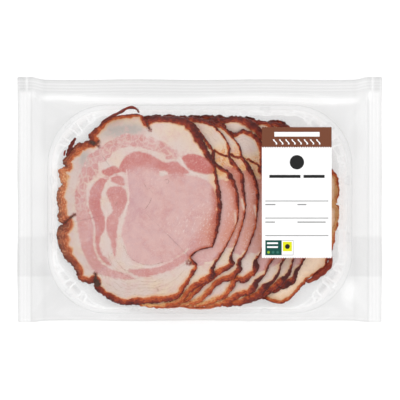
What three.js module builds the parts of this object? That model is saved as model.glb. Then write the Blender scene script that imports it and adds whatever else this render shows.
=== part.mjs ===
// A clear sealed bag round a tray of sliced rolled roast pork, with a paper label on its front.
// Millimetres, +Z up. The pack lies on its back, with its longest side along X.
// The origin is under the middle of the bag, on the surface that the pack rests on.
import * as THREE from "three";

// Bag: two sheets of film, sealed along both ends and along the top, folded along the bottom
const BAG_LENGTH = 255.5; // X, over both end seals
const BAG_WIDTH = 171.5; // Y, along the end seals
const PACK_HEIGHT = 18; // Z, the film stretched over the tray's rim
const SEAL_HEIGHT = 9; // the seals stand off the table, at half the pack's height
const SEAL_THICKNESS = 0.8;
const END_SEAL = 9.8; // width of the crimped strip at each end
const TOP_SEAL = 10.5; // width of the strip along the top
const FOLD_LIP = 1.2; // width of the pinched fold along the bottom
const EDGE_RADIUS = 1.2;
const SEAL_CORNER_RADIUS = 5;
const CRIMP_RIBS = 4;
const CRIMP_HEIGHT = 0.25; // each rib rises and falls by this much

// Between the end seals the tray pulls the long edges in, and every edge waves a little
const TOP_PULL = 2.1;
const BOTTOM_PULL = 1.1;
const EDGE_WAVE = 0.5;
const LONG_WAVE = 88; // length of one wave along X
const SHORT_WAVE = 66; // length of one wave along Y

// Tray under the film: a rounded rectangle, a little below the bag's middle
const TRAY_LENGTH = 212.8;
const TRAY_WIDTH = 145.8;
const TRAY_CORNER = 42;
const TRAY_SHIFT = -6.7;
const TRAY_TAPER = 8; // how far the base lies inside the rim, all round
const CORNER_PUFF = 1.6; // the gas lifts the film in the wide corners beside the tray

// Label: a paper strip with pinked ends, stuck on the front film
const LABEL_WIDTH = 48.6;
const LABEL_LENGTH = 91.7;
const LABEL_X = 67.6; // its middle
const LABEL_Y = 4.9;
const LABEL_THICKNESS = 0.25;
const LABEL_GAP = 0.3; // clear of the film that it is stuck to
const LABEL_TEETH = 29;
const TOOTH_DEPTH = 0.55;

// Fineness of the film's mesh
const LONG_SIDE_STEPS = 24;
const SHORT_SIDE_STEPS = 12;
const CORNER_STEPS = 8;
const SKIRT_STEPS = 5;

const HALF_LENGTH = BAG_LENGTH / 2;
const HALF_WIDTH = BAG_WIDTH / 2;

// A rounded rectangle, counter-clockwise. Its sides and corners always have the same number of
// points, so any two of these outlines can be skinned point to point.
function roundedOutline({ left, right, bottom, top, radius }) {
  const corners = [
    { x: right - radius, y: bottom + radius, start: -Math.PI / 2, steps: SHORT_SIDE_STEPS },
    { x: right - radius, y: top - radius, start: 0, steps: LONG_SIDE_STEPS },
    { x: left + radius, y: top - radius, start: Math.PI / 2, steps: SHORT_SIDE_STEPS },
    { x: left + radius, y: bottom + radius, start: Math.PI, steps: LONG_SIDE_STEPS },
  ];
  const onCorner = ({ x, y, start }, turn) =>
    new THREE.Vector2(
      x + radius * Math.cos(start + turn * (Math.PI / 2)),
      y + radius * Math.sin(start + turn * (Math.PI / 2)),
    );
  const points = [];
  corners.forEach((corner, k) => {
    for (let i = 0; i <= CORNER_STEPS; i++) {
      points.push(onCorner(corner, i / CORNER_STEPS));
    }
    const sideStart = onCorner(corner, 1);
    const sideEnd = onCorner(corners[(k + 1) % corners.length], 0);
    for (let i = 1; i < corner.steps; i++) {
      points.push(sideStart.clone().lerp(sideEnd, i / corner.steps));
    }
  });
  return points;
}

// How far the long edge is drawn in at x, from nothing at the end seals
function edgePull(x, pull) {
  const free = THREE.MathUtils.smoothstep(HALF_LENGTH - Math.abs(x), END_SEAL, 2 * END_SEAL);
  const wave = 0.5 - 0.5 * Math.cos((2 * Math.PI * x) / LONG_WAVE);
  return free * (pull - EDGE_WAVE * wave);
}

function waveAlongEnds(point) {
  const wave = 0.5 - 0.5 * Math.cos((2 * Math.PI * (point.y - HALF_WIDTH)) / SHORT_WAVE);
  point.x *= 1 - (EDGE_WAVE * wave) / HALF_LENGTH;
}

const trayBox = {
  left: -TRAY_LENGTH / 2,
  right: TRAY_LENGTH / 2,
  bottom: TRAY_SHIFT - TRAY_WIDTH / 2,
  top: TRAY_SHIFT + TRAY_WIDTH / 2,
};

const rimOutline = roundedOutline({ ...trayBox, radius: TRAY_CORNER });

const baseOutline = roundedOutline({
  left: trayBox.left + TRAY_TAPER,
  right: trayBox.right - TRAY_TAPER,
  bottom: trayBox.bottom + TRAY_TAPER,
  top: trayBox.top - TRAY_TAPER,
  radius: TRAY_CORNER - TRAY_TAPER,
});

// Outer edge of the seals and of the fold
const edgeOutline = roundedOutline({
  left: -HALF_LENGTH,
  right: HALF_LENGTH,
  bottom: -HALF_WIDTH,
  top: HALF_WIDTH,
  radius: EDGE_RADIUS,
});
for (const point of edgeOutline) {
  const pull = edgePull(point.x, point.y > 0 ? TOP_PULL : BOTTOM_PULL);
  waveAlongEnds(point);
  point.y *= 1 - pull / HALF_WIDTH;
}

// Line where the sheets part: inner edge of the seals, and just inside the fold
const partingOutline = roundedOutline({
  left: -HALF_LENGTH + END_SEAL,
  right: HALF_LENGTH - END_SEAL,
  bottom: -HALF_WIDTH + FOLD_LIP,
  top: HALF_WIDTH - TOP_SEAL,
  radius: SEAL_CORNER_RADIUS,
});
for (const point of partingOutline) {
  if (point.y < 0) {
    point.y *= 1 - edgePull(point.x, BOTTOM_PULL) / HALF_WIDTH;
  }
}

const blend = (from, to, t, height) =>
  from.map((point, i) => {
    const at = point.clone().lerp(to[i], t);
    return new THREE.Vector3(at.x, at.y, height(t, i));
  });

const scaledAboutTray = (outline, scale, z) =>
  outline.map((p) => new THREE.Vector3(p.x * scale, TRAY_SHIFT + (p.y - TRAY_SHIFT) * scale, z));

// The film's rings, from the middle of the base out to the edge, and over the top to the middle
function bagRings() {
  const lowSheet = SEAL_HEIGHT - SEAL_THICKNESS / 2;
  const highSheet = SEAL_HEIGHT + SEAL_THICKNESS / 2;
  const crimpSteps = 2 * CRIMP_RIBS;
  const crimp = (step) => (step % 2 ? CRIMP_HEIGHT : -CRIMP_HEIGHT);
  const spans = rimOutline.map((point, i) => point.distanceTo(partingOutline[i]));
  const narrow = Math.min(...spans);
  const wide = Math.max(...spans);
  const puff = (i) => CORNER_PUFF * ((spans[i] - narrow) / (wide - narrow));

  const rings = [scaledAboutTray(baseOutline, 0.5, 0)];
  for (let k = 0; k <= SKIRT_STEPS; k++) {
    rings.push(blend(baseOutline, partingOutline, k / SKIRT_STEPS, (t) => lowSheet * t));
  }
  for (let k = 1; k <= crimpSteps; k++) {
    const z = lowSheet + (k < crimpSteps ? crimp(k) : 0);
    rings.push(blend(partingOutline, edgeOutline, k / crimpSteps, () => z));
  }
  for (let k = crimpSteps; k >= 1; k--) {
    const z = highSheet + (k < crimpSteps ? crimp(k) : 0);
    rings.push(blend(partingOutline, edgeOutline, k / crimpSteps, () => z));
  }
  for (let k = 0; k <= SKIRT_STEPS; k++) {
    const height = (t, i) =>
      THREE.MathUtils.lerp(highSheet, PACK_HEIGHT, t) + puff(i) * Math.sin(Math.PI * t);
    rings.push(blend(partingOutline, rimOutline, k / SKIRT_STEPS, height));
  }
  rings.push(scaledAboutTray(rimOutline, 0.5, PACK_HEIGHT));
  return rings;
}

// A closed skin over stacked rings, with a fan of triangles at each end
function skin(rings, firstMiddle, lastMiddle) {
  const count = rings[0].length;
  const vertices = [firstMiddle, ...rings.flat(), lastMiddle];
  const last = vertices.length - 1;
  const at = (ring, i) => 1 + ring * count + (i % count);
  const faces = [];
  for (let i = 0; i < count; i++) {
    faces.push(0, at(0, i + 1), at(0, i));
    for (let ring = 0; ring < rings.length - 1; ring++) {
      faces.push(at(ring, i), at(ring, i + 1), at(ring + 1, i + 1));
      faces.push(at(ring, i), at(ring + 1, i + 1), at(ring + 1, i));
    }
    faces.push(at(rings.length - 1, i), at(rings.length - 1, i + 1), last);
  }
  const geometry = new THREE.BufferGeometry().setFromPoints(vertices);
  geometry.setIndex(faces);
  geometry.computeVertexNormals();
  return geometry;
}

function makeBag() {
  const geometry = skin(
    bagRings(),
    new THREE.Vector3(0, TRAY_SHIFT, 0),
    new THREE.Vector3(0, TRAY_SHIFT, PACK_HEIGHT),
  );
  const film = new THREE.MeshStandardMaterial({
    color: 0xf0f1f1,
    roughness: 0.12,
    metalness: 0,
    transparent: true,
    opacity: 0.35,
  });
  const bag = new THREE.Mesh(geometry, film);
  bag.name = "bag";
  return bag;
}

// A strip with straight sides, and pinked along its top and bottom
function labelShape() {
  const halfWidth = LABEL_WIDTH / 2;
  const halfLength = LABEL_LENGTH / 2;
  const pitch = LABEL_WIDTH / LABEL_TEETH;
  const shape = new THREE.Shape();
  shape.moveTo(-halfWidth, -halfLength + TOOTH_DEPTH);
  for (let k = 0; k < LABEL_TEETH; k++) {
    shape.lineTo(-halfWidth + (k + 0.5) * pitch, -halfLength);
    shape.lineTo(-halfWidth + (k + 1) * pitch, -halfLength + TOOTH_DEPTH);
  }
  shape.lineTo(halfWidth, halfLength - TOOTH_DEPTH);
  for (let k = 0; k < LABEL_TEETH; k++) {
    shape.lineTo(halfWidth - (k + 0.5) * pitch, halfLength);
    shape.lineTo(halfWidth - (k + 1) * pitch, halfLength - TOOTH_DEPTH);
  }
  shape.closePath();
  return shape;
}

function makeLabel() {
  const geometry = new THREE.ExtrudeGeometry(labelShape(), {
    depth: LABEL_THICKNESS,
    bevelEnabled: false,
  });
  const paper = new THREE.MeshStandardMaterial({ color: 0xfcfcfb, roughness: 0.6, metalness: 0 });
  const label = new THREE.Mesh(geometry, paper);
  label.name = "label";
  label.position.set(LABEL_X, LABEL_Y, PACK_HEIGHT + LABEL_GAP);
  return label;
}

const pack = new THREE.Group();
pack.add(makeBag(), makeLabel());

export default pack;
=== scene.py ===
import math

import bpy
import numpy as np
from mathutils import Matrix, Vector


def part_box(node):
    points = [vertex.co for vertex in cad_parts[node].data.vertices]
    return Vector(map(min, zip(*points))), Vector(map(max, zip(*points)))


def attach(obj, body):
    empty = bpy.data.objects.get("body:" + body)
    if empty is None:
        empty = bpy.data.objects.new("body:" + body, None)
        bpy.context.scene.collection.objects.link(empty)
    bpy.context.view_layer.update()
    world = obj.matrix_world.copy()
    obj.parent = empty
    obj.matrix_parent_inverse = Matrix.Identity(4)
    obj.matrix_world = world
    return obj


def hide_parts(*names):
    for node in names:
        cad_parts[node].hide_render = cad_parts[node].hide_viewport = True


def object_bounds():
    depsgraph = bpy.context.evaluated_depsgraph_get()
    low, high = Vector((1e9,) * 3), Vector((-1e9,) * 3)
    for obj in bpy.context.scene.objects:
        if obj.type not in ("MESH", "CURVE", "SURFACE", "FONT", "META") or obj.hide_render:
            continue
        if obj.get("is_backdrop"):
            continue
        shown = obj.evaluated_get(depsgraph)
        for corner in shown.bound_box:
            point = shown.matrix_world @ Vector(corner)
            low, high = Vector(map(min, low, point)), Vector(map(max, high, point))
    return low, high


bl_info = {
    "name": "Sliced roast pork in a clear bag",
    "version": (1, 0, 0),
    "blender": (4, 5, 0),
    "location": "View3D > Sidebar > Roast pork",
    "description": "Builds a sealed bag round a tray of shingled slices of rolled roast pork",
    "category": "Add Mesh",
}

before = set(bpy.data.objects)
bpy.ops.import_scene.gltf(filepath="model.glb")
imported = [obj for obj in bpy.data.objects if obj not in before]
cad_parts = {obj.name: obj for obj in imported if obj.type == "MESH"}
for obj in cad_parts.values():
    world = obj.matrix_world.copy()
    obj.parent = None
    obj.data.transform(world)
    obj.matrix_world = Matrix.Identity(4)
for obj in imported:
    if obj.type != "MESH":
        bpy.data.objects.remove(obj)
cad_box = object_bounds()

MM = 0.001

# Bag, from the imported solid
HALF_LENGTH, HALF_WIDTH, PACK_HEIGHT = (float(size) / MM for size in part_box("bag")[1])
SEAL_HEIGHT = 9.0
END_SEAL = 9.8
TOP_SEAL = 10.5
FOLD_LIP = 1.2
EDGE_RADIUS = 1.2
PARTING_RADIUS = 5.0
CORNER_PUFF = 1.6

# How far the long edges are drawn in, how far into the sheets that reaches, and how all edges wave
TOP_PULL = 2.1
BOTTOM_PULL = 1.1
PULL_REACH = 20.0
EDGE_WAVE = 0.5
LONG_WAVE = 88.0
SHORT_WAVE = 66.0

# Ribs pressed into the seals: distances in from the edge, and how they rise
END_RIBS = (1.3, 4.0, 6.6, 8.6)
TOP_RIBS = (1.5, 3.6, 5.7, 8.2)
RIB_WIDTH = 0.5
RIB_HEIGHT = 0.32
TOP_RIB_END = 101.0

# Doubled strip of film across the back
DOUBLED_LOW = -53.5
DOUBLED_HIGH = -25.5

# Tray
RIM_HALF_LENGTH = 106.4
RIM_HALF_WIDTH = 72.9
RIM_CORNER = 42.0
TRAY_Y = -6.7
BASE_INSET = 8.0
TRAY_FLOOR = 0.8
RIM_HEIGHT = 16.6
FLUTES = 41
POINTS_PER_FLUTE = 20
POST_WIDTH = 6.0
LUG_WIDTH = 5.6

# Where the top slice lies, and how the slices curl up where they meet the tray's wall
ROLL_PLACE = (-41.8, -5.3)
WALL_CURL = 2.6
CURL_REACH = 3.2
CURL_INSET = 9.2

POINTS_AT_ONCE = 2000
PATH_STEP = 1.2
WHITE = (1, 1, 1, 1)


def rounded_box(x, y, half_x, half_y, radius, middle_y=0.0):
    """Distance to a rounded rectangle, positive outside it."""
    across = np.abs(x) - (half_x - radius)
    along = np.abs(y - middle_y) - (half_y - radius)
    corner = np.hypot(np.maximum(across, 0), np.maximum(along, 0))
    return corner + np.minimum(np.maximum(across, along), 0) - radius


def rim_distance(x, y):
    return rounded_box(x, y, RIM_HALF_LENGTH, RIM_HALF_WIDTH, RIM_CORNER, TRAY_Y)


def ease(low, high, value):
    """A smooth step from 0 at low to 1 at high."""
    t = np.clip((value - low) / (high - low), 0, 1)
    return t * t * (3 - 2 * t)


def bump(distance, width):
    return np.exp(-((distance / width) ** 2))


def wave(turns):
    """A smooth rise from 0 to 1 and back with every turn."""
    return 0.5 - 0.5 * np.cos(2 * np.pi * turns)


def ripple(x, y, wavelength, seed):
    """A seeded, smooth up and down over a plane, mostly between -1 and 1."""
    draw = np.random.default_rng(seed)
    total = 0
    for _ in range(5):
        turn = draw.uniform(0, np.pi)
        phase = draw.uniform(0, 2 * np.pi)
        stretch = draw.uniform(0.7, 1.5)
        along = x * np.cos(turn) + y * np.sin(turn)
        total = total + np.sin(2 * np.pi * along * stretch / wavelength + phase)
    return total / 3


# Shapes through points

def between(t, start, first, end, last):
    """A straight blend of first, where t is start, and last, where t is end."""
    return (first * (end - t) + last * (t - start)) / (end - start)


def curve_through(points, step, closed=False):
    """A smooth curve through points, as points about a step apart."""
    p = np.array(points, float)
    if closed:
        q = np.vstack([p[-1], p, p[0], p[1]])
    else:
        q = np.vstack([2 * p[0] - p[1], p, 2 * p[-1] - p[-2]])
    pieces = []
    for a, b, c, d in zip(q[:-3], q[1:-2], q[2:-1], q[3:]):
        tb = np.linalg.norm(b - a) ** 0.5 + 1e-9
        tc = tb + np.linalg.norm(c - b) ** 0.5 + 1e-9
        td = tc + np.linalg.norm(d - c) ** 0.5 + 1e-9
        count = max(2, int(np.linalg.norm(c - b) / step) + 1)
        t = (tb + (tc - tb) * np.arange(count) / count)[:, None]
        ab = between(t, 0, a, tb, b)
        bc = between(t, tb, b, tc, c)
        cd = between(t, tc, c, td, d)
        pieces.append(between(t, tb, between(t, 0, ab, tc, bc), tc, between(t, tb, bc, td, cd)))
    pieces.append(p[:1] if closed else p[-1:])
    return np.vstack(pieces)


def in_parts(total):
    """Slices of a long row that is worked through in parts, to save memory."""
    return [slice(first, first + POINTS_AT_ONCE) for first in range(0, total, POINTS_AT_ONCE)]


def closest(points, path):
    """Distance from each point to a path, and the number of the path's nearest stretch."""
    start, along = path[:-1], path[1:] - path[:-1]
    length = (along**2).sum(1) + 1e-12
    distance, nearest = np.empty(len(points)), np.empty(len(points), int)
    for here in in_parts(len(points)):
        away = points[here, None, :] - start
        t = np.clip((away * along).sum(2) / length, 0, 1)
        gap = away - t[..., None] * along
        gap = np.hypot(gap[..., 0], gap[..., 1])
        nearest[here] = gap.argmin(1)
        distance[here] = gap.min(1)
    return distance, nearest


def is_inside(points, path):
    """True for each point inside a closed path."""
    a, b = path[:-1], path[1:]
    inside = np.zeros(len(points), bool)
    for here in in_parts(len(points)):
        x, y = points[here, :1], points[here, 1:]
        spans = (a[:, 1] > y) != (b[:, 1] > y)
        rise = np.where(b[:, 1] == a[:, 1], 1e-12, b[:, 1] - a[:, 1])
        crossing = (b[:, 0] - a[:, 0]) * (y - a[:, 1]) / rise + a[:, 0]
        inside[here] = (spans & (x < crossing)).sum(1) % 2 == 1
    return inside


def depth_inside(points, outline):
    """Distance to a closed outline's edge, positive inside it."""
    path = curve_through(outline, PATH_STEP, closed=True)
    distance, _ = closest(points, path)
    return np.where(is_inside(points, path), distance, -distance)


def nearest_line(points, lines):
    return np.min([closest(points, curve_through(line, PATH_STEP))[0] for line in lines], axis=0)


def steps_along(path):
    return np.hypot(*np.diff(path, axis=0).T)


def outward_of(ring):
    """Directions out of a closed ring of points that goes anticlockwise."""
    along = np.roll(ring, -1, 0) - np.roll(ring, 1, 0)
    return np.stack([along[:, 1], -along[:, 0]], 1) / np.hypot(*along.T)[:, None]


# Meshes

def add_mesh(name, points, faces, finish, attributes):
    """A smooth-shaded piece of the pack, from points in millimetres. It rides on the pack."""
    mesh = bpy.data.meshes.new(name)
    mesh.from_pydata((np.asarray(points, float) * MM).tolist(), [], [tuple(map(int, f)) for f in faces])
    for label, values in attributes.items():
        kind, field = ("FLOAT_VECTOR", "vector") if np.ndim(values) == 2 else ("FLOAT", "value")
        layer = mesh.attributes.new(label, kind, "POINT")
        layer.data.foreach_set(field, np.asarray(values, np.float32).ravel())
    mesh.polygons.foreach_set("use_smooth", [True] * len(mesh.polygons))
    mesh.materials.append(finish)
    mesh.validate()
    piece = bpy.data.objects.new(name, mesh)
    bpy.context.scene.collection.objects.link(piece)
    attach(piece, "root")
    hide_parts("bag")


def grid_faces(columns, rows, first=0, flipped=False):
    """Quads of a grid of columns by rows points, numbered row by row."""
    i, j = np.meshgrid(np.arange(columns - 1), np.arange(rows - 1))
    a = first + (j * columns + i).ravel()
    quads = np.stack([a, a + 1, a + columns + 1, a + columns], 1)
    return quads[:, ::-1] if flipped else quads


def grid_border(columns, rows):
    """The numbers of a grid's outermost points, anticlockwise."""
    number = np.arange(columns * rows).reshape(rows, columns)
    return np.concatenate([number[0, :-1], number[:-1, -1], number[-1, :0:-1], number[:0:-1, 0]])


def ring_faces(first, second, flipped=False):
    """Quads between two closed rows of point numbers."""
    quads = np.stack([first, np.roll(first, -1), np.roll(second, -1), second], 1)
    return quads[:, ::-1] if flipped else quads


# Finishes

def linear(red, green, blue):
    """A screen colour from 0 to 255 as Blender's linear one."""
    return tuple(
        c / 12.92 if c <= 0.04045 else ((c + 0.055) / 1.055) ** 2.4
        for c in (red / 255, green / 255, blue / 255)
    )


def maths(operation, reflected=False):
    """A method of Signal that adds a Math node."""

    def method(self, *others):
        values = (*others, self) if reflected else (self, *others)
        return self.finish.node("ShaderNodeMath", {"operation": operation}, dict(enumerate(values)))

    return method


class Signal:
    """A value on its way through a finish's nodes. Sums on it add Math nodes."""

    def __init__(self, finish, socket):
        self.finish = finish
        self.socket = socket

    __add__ = maths("ADD")
    __radd__ = maths("ADD", reflected=True)
    __sub__ = maths("SUBTRACT")
    __rsub__ = maths("SUBTRACT", reflected=True)
    __mul__ = maths("MULTIPLY")
    __rmul__ = maths("MULTIPLY", reflected=True)
    __truediv__ = maths("DIVIDE")
    __rtruediv__ = maths("DIVIDE", reflected=True)
    __abs__ = maths("ABSOLUTE")
    __lt__ = maths("LESS_THAN")
    highest = maths("MAXIMUM")
    fraction = maths("FRACT")
    sine = maths("SINE")


class Finish:
    """A material, or the room's own light, and the nodes that it is made of."""

    def __init__(self, name, kind="materials"):
        self.material = getattr(bpy.data, kind).new(name)
        self.material.use_nodes = True
        self.tree = self.material.node_tree
        self.tree.nodes.clear()

    def node(self, kind, settings=None, inputs=None, output=0):
        """A node of a kind, with its settings and then its sockets' values or links."""
        made = self.tree.nodes.new(kind)
        for setting, value in (settings or {}).items():
            setattr(made, setting, value)
        for key, value in (inputs or {}).items():
            if isinstance(value, Signal):
                self.tree.links.new(value.socket, made.inputs[key])
            else:
                made.inputs[key].default_value = value
        return Signal(self, made.outputs[output]) if len(made.outputs) else made

    def value(self, attribute):
        return self.node("ShaderNodeAttribute", {"attribute_name": attribute}, output="Fac")

    def vector(self, attribute):
        return self.node("ShaderNodeAttribute", {"attribute_name": attribute}, output="Vector")

    def parts(self, attribute):
        """The three parts of one of the mesh's own vector attributes."""
        return self.split(self.vector(attribute))

    def split(self, vector):
        first = self.node("ShaderNodeSeparateXYZ", {}, {0: vector})
        return [Signal(self, socket) for socket in first.socket.node.outputs]

    def join(self, x, y):
        return self.node("ShaderNodeCombineXYZ", {}, {0: x, 1: y})

    def warped(self, place, scale, reach):
        """Places pushed about by a noise, up to about a third of the reach."""
        pushes = self.node("ShaderNodeTexNoise", {}, {"Vector": place, "Scale": scale}, "Color")
        inputs = {0: pushes, 1: (reach, reach, 0.0), 2: place}
        return self.node("ShaderNodeVectorMath", {"operation": "MULTIPLY_ADD"}, inputs)

    def noise(self, place, scale, detail=2.0, roughness=0.5):
        inputs = {"Vector": place, "Scale": scale, "Detail": detail, "Roughness": roughness}
        return self.node("ShaderNodeTexNoise", {}, inputs)

    def cells(self, place, scale):
        """Distance to the walls between irregular cells, and a random value for each cell."""
        inputs = {"Vector": place, "Scale": scale}
        walls = self.node("ShaderNodeTexVoronoi", {"feature": "DISTANCE_TO_EDGE"}, inputs)
        tones = self.node("ShaderNodeTexVoronoi", {"feature": "F1"}, inputs, "Color")
        return walls, self.split(tones)[0]

    def ease(self, value, low, high):
        """A smooth step from 0 at low to 1 at high."""
        inputs = {"Value": value, "From Min": low, "From Max": high}
        return self.node("ShaderNodeMapRange", {"interpolation_type": "SMOOTHSTEP"}, inputs)

    def blend(self, factor, low, high):
        """A colour between low, where the factor is 0, and high."""
        inputs = {0: factor, 6: self._colour(low), 7: self._colour(high)}
        settings = {"data_type": "RGBA", "clamp_factor": True}
        return self.node("ShaderNodeMix", settings, inputs, output=2)

    @staticmethod
    def _colour(value):
        return value if isinstance(value, Signal) else (*value, 1.0)

    def bumps(self, height, strength, distance):
        inputs = {"Height": height, "Strength": strength, "Distance": distance}
        return self.node("ShaderNodeBump", {}, inputs)

    def mixed(self, factor, first, second):
        return self.node("ShaderNodeMixShader", {}, {0: factor, 1: first, 2: second})

    def surface(self, inputs):
        return self.node("ShaderNodeBsdfPrincipled", {}, inputs)

    def done(self, shader, output="ShaderNodeOutputMaterial"):
        self.node(output, {}, {"Surface": shader})
        return self.material


def tinted(finish, clear, shaded):
    """What shows through a sheet: clear, and darker as far as the painted shade that the mesh carries says.
    """
    light, dark = (
        finish.node("ShaderNodeBsdfTransparent", {}, {"Color": (*colour, 1)}) for colour in (clear, shaded)
    )
    return finish.mixed(finish.value("shade"), light, dark)


def glossed(finish, sheet, roughness, flat=0.012, steep=0.03):
    """Adds a sheet's gloss: a flat share of the light, and more where the sheet is tilted."""
    tilt = finish.node("ShaderNodeLayerWeight", {}, {"Blend": 0.5}, output="Facing")
    mirror = finish.node("ShaderNodeBsdfGlossy", {}, {"Color": WHITE, "Roughness": roughness})
    return finish.mixed(flat + steep * tilt, sheet, mirror)


def film_finish(colours):
    finish = Finish("clear film")
    sheet = tinted(finish, colours.film, colours.shaded_plastic)
    return finish.done(glossed(finish, sheet, roughness=0.16))


# The milky haze's share of the tray's plastic, and how strongly it glows: the glow is painted light
HAZE_SHARE = 0.04
HAZE_GLOW = 0.6


def tray_finish(colours):
    """Clear plastic with a faint milky haze, which glows a little: painted light that brightens the tray.
    """
    finish = Finish("clear tray plastic")
    haze = finish.surface({
        "Base Color": (*colours.tray_haze, 1),
        "Roughness": 0.5,
        "Specular IOR Level": 0.0,
        "Emission Color": WHITE,
        "Emission Strength": HAZE_GLOW,
    })
    sheet = finish.mixed(HAZE_SHARE, tinted(finish, colours.tray, colours.shaded_plastic), haze)
    return finish.done(glossed(finish, sheet, roughness=0.1))


def meat_finish(colours):
    """Lean, fat, membranes, baked crust and scorched cuts, from what each point of a slice carries."""
    finish = Finish("roast pork")
    ease, blend = finish.ease, finish.blend
    reach, width, char = finish.parts("edge")
    glow_reach, specked_and_glinting, _ = finish.parts("halo")
    lean, deep, seam = finish.parts("tissue")
    belly, warm, pale = finish.parts("tint")
    rim, layers, crack = finish.parts("lines")
    along, amber_and_lit_fat, scar = finish.parts("marks")
    place = finish.vector("grain")
    broad = finish.noise(place, 0.08)
    drift = finish.noise(place, 0.15, 3, 0.6)
    patch = finish.noise(place, 0.32, 4, 0.6)
    grain = finish.noise(place, 1.2, 3, 0.6)
    speck = finish.noise(place, 0.95)
    x, y, _ = finish.split(place)
    fibres = finish.noise(finish.join(x * 0.91 - y * 0.42, x * 0.15 + y * 0.32), 0.9, 3, 0.6)
    streak = finish.noise(finish.join(along * 0.3, rim * 1.3), 1.0, 3, 0.6)
    walls, cell_tone = finish.cells(finish.warped(place, 0.4, 4.0), 0.22)

    def uneven(value, patchy=0.0, grainy=0.0):
        """A value that patches and grain push up and down."""
        for noise, share in ((patch, patchy), (grain, grainy)):
            if share:
                value = value + (noise - 0.5) * share
        return value

    def ragged(value, low, high, patchy=0.0, grainy=0.0):
        """A step from 0 at low to 1 at high, with an uneven edge."""
        return ease(uneven(value, patchy, grainy), low, high)

    # Lean
    golden = (amber_and_lit_fat * 2 - 1).highest(0.0)
    roughness = uneven(0.0, 2.8, 1.0)
    lean_edge = lean + roughness * (1 + belly + golden * 2) + belly * (cell_tone - 0.44) * 2.6
    lean_mask = ease(lean_edge, -0.9, 0.9)
    tone = uneven(deep + (broad - 0.5) * 0.8, 1.0, 1.1)
    tone = tone + (fibres - 0.5) * 0.8 + belly * (cell_tone - 0.5) * 0.25
    red = blend(tone, colours.pale_lean, colours.deep_lean)
    mauve = blend(tone, colours.mauve_lean, colours.deep_lean)
    red = blend(uneven((drift - 0.42) * 2.4, grainy=1.0) - warm, red, mauve)
    red = blend(warm + (patch - 0.5) * warm * 2, red, colours.warm_lean)
    marbling = ragged(patch, 0.54, 0.74, grainy=0.9)
    red = blend(marbling * 0.35, red, colours.membrane)
    fleck = ragged(fibres + pale * 0.1, 0.6, 0.7, grainy=0.6)
    red = blend(fleck * (0.4 + pale * 0.6), red, colours.membrane)

    # Fat
    fat = blend(ease(broad, 0.4, 0.7) * 0.5 + amber_and_lit_fat * 2, colours.fat, colours.cream_fat)
    fat = blend(pale + (patch - 0.5) * pale, fat, colours.cool_fat)
    golden = golden * ragged(patch, 0.35, 0.6, grainy=0.9)
    fat = blend(golden, fat, colours.amber_crust)
    fat = blend(golden * ragged(streak, 0.5, 0.64, grainy=0.5) * 0.8, fat, colours.orange_crust)
    # Painted light: fat painted lighter where the amber value is below zero
    fat = blend(amber_and_lit_fat * -1, fat, colours.painted_lit_fat)
    rosy = ragged(drift, 0.46, 0.66, grainy=0.5) * (1 + amber_and_lit_fat * 0.5)
    fat = blend(rosy * 0.45, fat, colours.pale_lean)
    fat = blend(ragged(grain, 0.56, 0.7, patchy=0.5) * 0.22, fat, colours.layer_line)

    # Where they meet, and the fine lines in both
    cell_line = 1 - ragged(walls, 0.0, 0.15, grainy=0.12)
    flesh = blend(lean_mask * (1 - belly * cell_line * 0.6), fat, red)
    membrane = 1 - ragged(seam, 0.1, 0.9, 0.8, 0.9)
    flesh = blend(membrane * 0.55, flesh, colours.membrane)
    layer_edge = abs((rim * 0.42 + (broad - 0.5) * 3.0).fraction() - 0.5)
    layer_line = (1 - ease(layer_edge, 0.0, 0.12)) * layers * ease(patch, 0.4, 0.56)
    flesh = blend(layer_line * 0.55, flesh, colours.layer_line)
    crack_mask = (1 - ease(crack, 0.05, 0.5)) * ease(grain, 0.38, 0.55)
    flesh = blend(crack_mask * 0.6, flesh, blend(lean_mask, colours.layer_line, colours.crack))

    # Crust, from the colour that it gives what lies next to it to its scorched rim
    glow = 1 - ragged((reach - width) / glow_reach, -0.2, 1.15, 1.4, 1.0)
    glow_colour = blend(lean_mask, colours.amber_crust, colours.rosy_crust)
    flesh = blend(glow * (0.65 + lean_mask * 0.25), flesh, glow_colour)
    depth = uneven(reach, 1.8, 1.3) / width
    mottle = uneven((streak - 0.5) * 2.6, 0.8, 1.4)
    scorch = depth * 1.3 - 0.15 - char + mottle
    baked = blend(ease(scorch, -0.95, -0.2), colours.dark_crust, colours.brown_crust)
    baked = blend(ease(scorch, -0.2, 0.55), baked, colours.orange_crust)
    baked = blend(ease(scorch, 0.7, 1.5), baked, colours.amber_crust)
    # Light crust and light specks, partly painted highlights, where the mesh marks them
    specks_and_glints = 0.2 + ease(speck + (streak - 0.5) * 0.7, 0.54, 0.66) * 0.55
    baked = blend(specks_and_glints * specked_and_glinting * (1.1 - char), baked, colours.light_crust_and_glints)
    rim_line = (1 - ragged(rim, 0.05, 0.9, 2.4, 1.8)) * (0.2 + ease(char, 0.2, 1.0) * 0.7)
    baked = blend(rim_line * 0.75, baked, colours.rim_crust)
    crust_mask = 1 - ease(depth, 0.82, 1.06)
    flesh = blend(crust_mask, flesh, baked)

    # Scorched cuts, with a paler edge
    scar_depth = uneven(scar, 4.0, 2.5)
    flesh = blend((1 - ease(scar_depth, 0.2, 1.8)) * 0.8, flesh, colours.brown_crust)
    flesh = blend(1 - ease(scar_depth, -0.4, 0.7), flesh, colours.scar)

    crags = grain * (0.2 + crust_mask * 0.8) + streak * crust_mask
    return finish.done(finish.surface({
        "Base Color": flesh,
        "Roughness": 0.5 - 0.1 * crust_mask,
        "Specular IOR Level": 0.3,
        "Normal": finish.bumps(crags, 0.6, 0.8 * MM),
    }))


# Stage

FLOOR_GLOW = 0.46
LAMP_AIM = Vector((0.0, 0.0, 0.01))
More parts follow.
